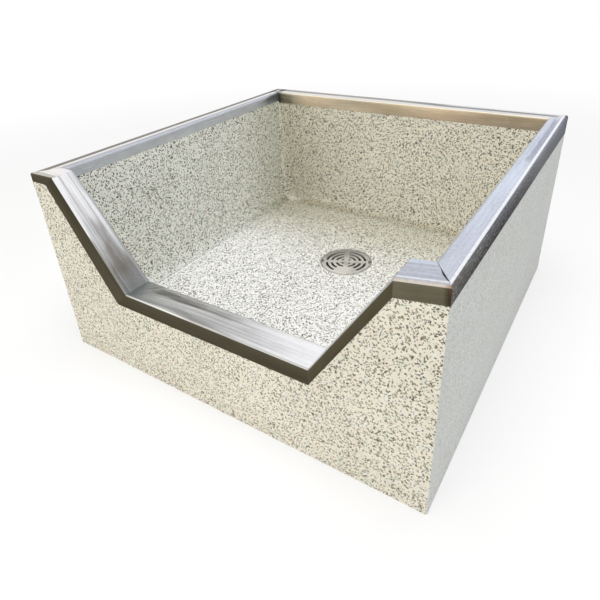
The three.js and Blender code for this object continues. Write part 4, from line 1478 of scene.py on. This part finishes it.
class SINK_OT_stage(bpy.types.Operator):
    """Lay the pale floor, hang the soft lamps and set the camera"""

    bl_idname = "sink.stage"
    bl_label = "Studio Stage"

    def execute(self, context):
        scene = context.scene
        values = scene.sink_stage
        scene.view_settings.view_transform = "Standard"
        self.floor(values)
        self.world(scene, values)
        self.lamp("top_lamp", values.top_lamp, (0.15, -0.25, 2.6), 2.4, (1.0, 1.0, 1.0))
        self.lamp("front_lamp", values.front_lamp, (-0.75, -2.7, 1.15), 2.0, (1.0, 0.91, 0.70))
        self.lamp("right_lamp", values.right_lamp, (2.8, -0.35, 1.25), 2.0, (0.90, 0.96, 1.0))
        self.camera(scene)
        return {"FINISHED"}

    @staticmethod
    def seen_rays(graph):
        """1 for what the camera, a reflection or a refraction sees."""
        rays = graph.add("LightPath", output="Is Camera Ray")
        glossy = graph.sibling(rays, "Is Glossy Ray")
        return (rays + glossy + graph.sibling(rays, "Is Transmission Ray")).clamped()

    def floor(self, values):
        """A wide floor that fades to background white away from the sink."""
        bm = bmesh.new()
        bmesh.ops.create_grid(bm, x_segments=1, y_segments=1, size=FLOOR_SIZE)
        floor = added("studio_floor", mesh_from(bm, "studio_floor"))
        graph = Graph("studio_floor")
        matt = graph.principled(
            Base_Color=values.floor[:], Roughness=1.0, Specular_IOR_Level=0.0,
        )
        white = graph.add("Emission", None, {"Color": (1, 1, 1), "Strength": 1.0})
        far = graph.length(graph.coordinates()).rise(*FLOOR_FADE)
        veil = values.floor_veil + (1.0 - values.floor_veil) * far
        mixed = graph.add("MixShader", None, {0: self.seen_rays(graph) * veil, 1: matt, 2: white})
        floor.data.materials.append(graph.finished(mixed))

    def world(self, scene, values):
        """White where it is seen, and a fainter even light from all round."""
        graph = Graph("studio", world=True)
        strength = values.sky + (1.0 - values.sky) * self.seen_rays(graph)
        sky = graph.add("Background", None, {"Color": (1, 1, 1), "Strength": strength})
        scene.world = graph.finished(sky)

    @staticmethod
    def lamp(name, power, place, size, tint):
        """A square lamp aimed at the sink, unseen in reflections."""
        data = bpy.data.lights.new(name, "AREA")
        data.shape = "SQUARE"
        data.size = size
        data.energy = power
        data.color = tint
        lamp = added(name, data)
        lamp.location = place
        aim = SINK_MIDDLE - Vector(place)
        lamp.rotation_euler = aim.to_track_quat("-Z", "Y").to_euler()
        lamp.visible_glossy = False

    @staticmethod
    def camera(scene):
        """The photo's camera, as solved from the corners of the sink."""
        data = bpy.data.cameras.new("camera")
        data.sensor_width = 36.0
        data.lens = 30.65
        data.shift_x = -0.0073
        data.shift_y = -0.0945
        data.clip_start = 0.01
        data.clip_end = 200.0
        camera = added("camera", data)
        right = Vector((0.84227, 0.53745, -0.04166))
        upwards = Vector((-0.22380, 0.41894, 0.88000))
        backwards = Vector((0.49041, -0.73187, 0.47314))
        turn = Matrix((right, upwards, backwards)).transposed().to_4x4()
        camera.matrix_world = Matrix.Translation((0.40157, -0.66827, 0.54331)) @ turn
        scene.camera = camera


class SINK_PT_panel(bpy.types.Panel):
    """Lists the steps of the sink and its values"""

    bl_idname = "SINK_PT_panel"
    bl_label = "Mop Sink"
    bl_space_type = "VIEW_3D"
    bl_region_type = "UI"
    bl_category = "Mop Sink"

    def draw(self, context):
        for step in STEPS:
            self.layout.operator(step.bl_idname)
        for group, kind in GROUPS.items():
            box = self.layout.box()
            box.label(text=group.replace("_", " "))
            for name in kind.__annotations__:
                box.prop(getattr(context.scene, group), name)


GROUPS = {
    "sink_casting": CastingSizes,
    "sink_caps": CapSizes,
    "sink_drain": DrainSizes,
    "sink_finishes": Finishes,
    "sink_stage": StageValues,
}
STEPS = (
    SINK_OT_casting,
    SINK_OT_caps,
    SINK_OT_drain,
    SINK_OT_strainer,
    SINK_OT_hidden_steel,
    SINK_OT_stage,
)


def register():
    for kind in (*GROUPS.values(), *STEPS, SINK_PT_panel):
        bpy.utils.register_class(kind)
    for group, kind in GROUPS.items():
        setattr(bpy.types.Scene, group, bpy.props.PointerProperty(type=kind))


def unregister():
    for group in GROUPS:
        delattr(bpy.types.Scene, group)
    for kind in reversed((*GROUPS.values(), *STEPS, SINK_PT_panel)):
        bpy.utils.unregister_class(kind)


def main():
    register()
    bpy.ops.sink.casting()
    bpy.ops.sink.caps()
    bpy.ops.sink.drain()
    bpy.ops.sink.strainer()
    bpy.ops.sink.hidden_steel()
    bpy.ops.sink.stage()


if __name__ == "__main__":
    main()
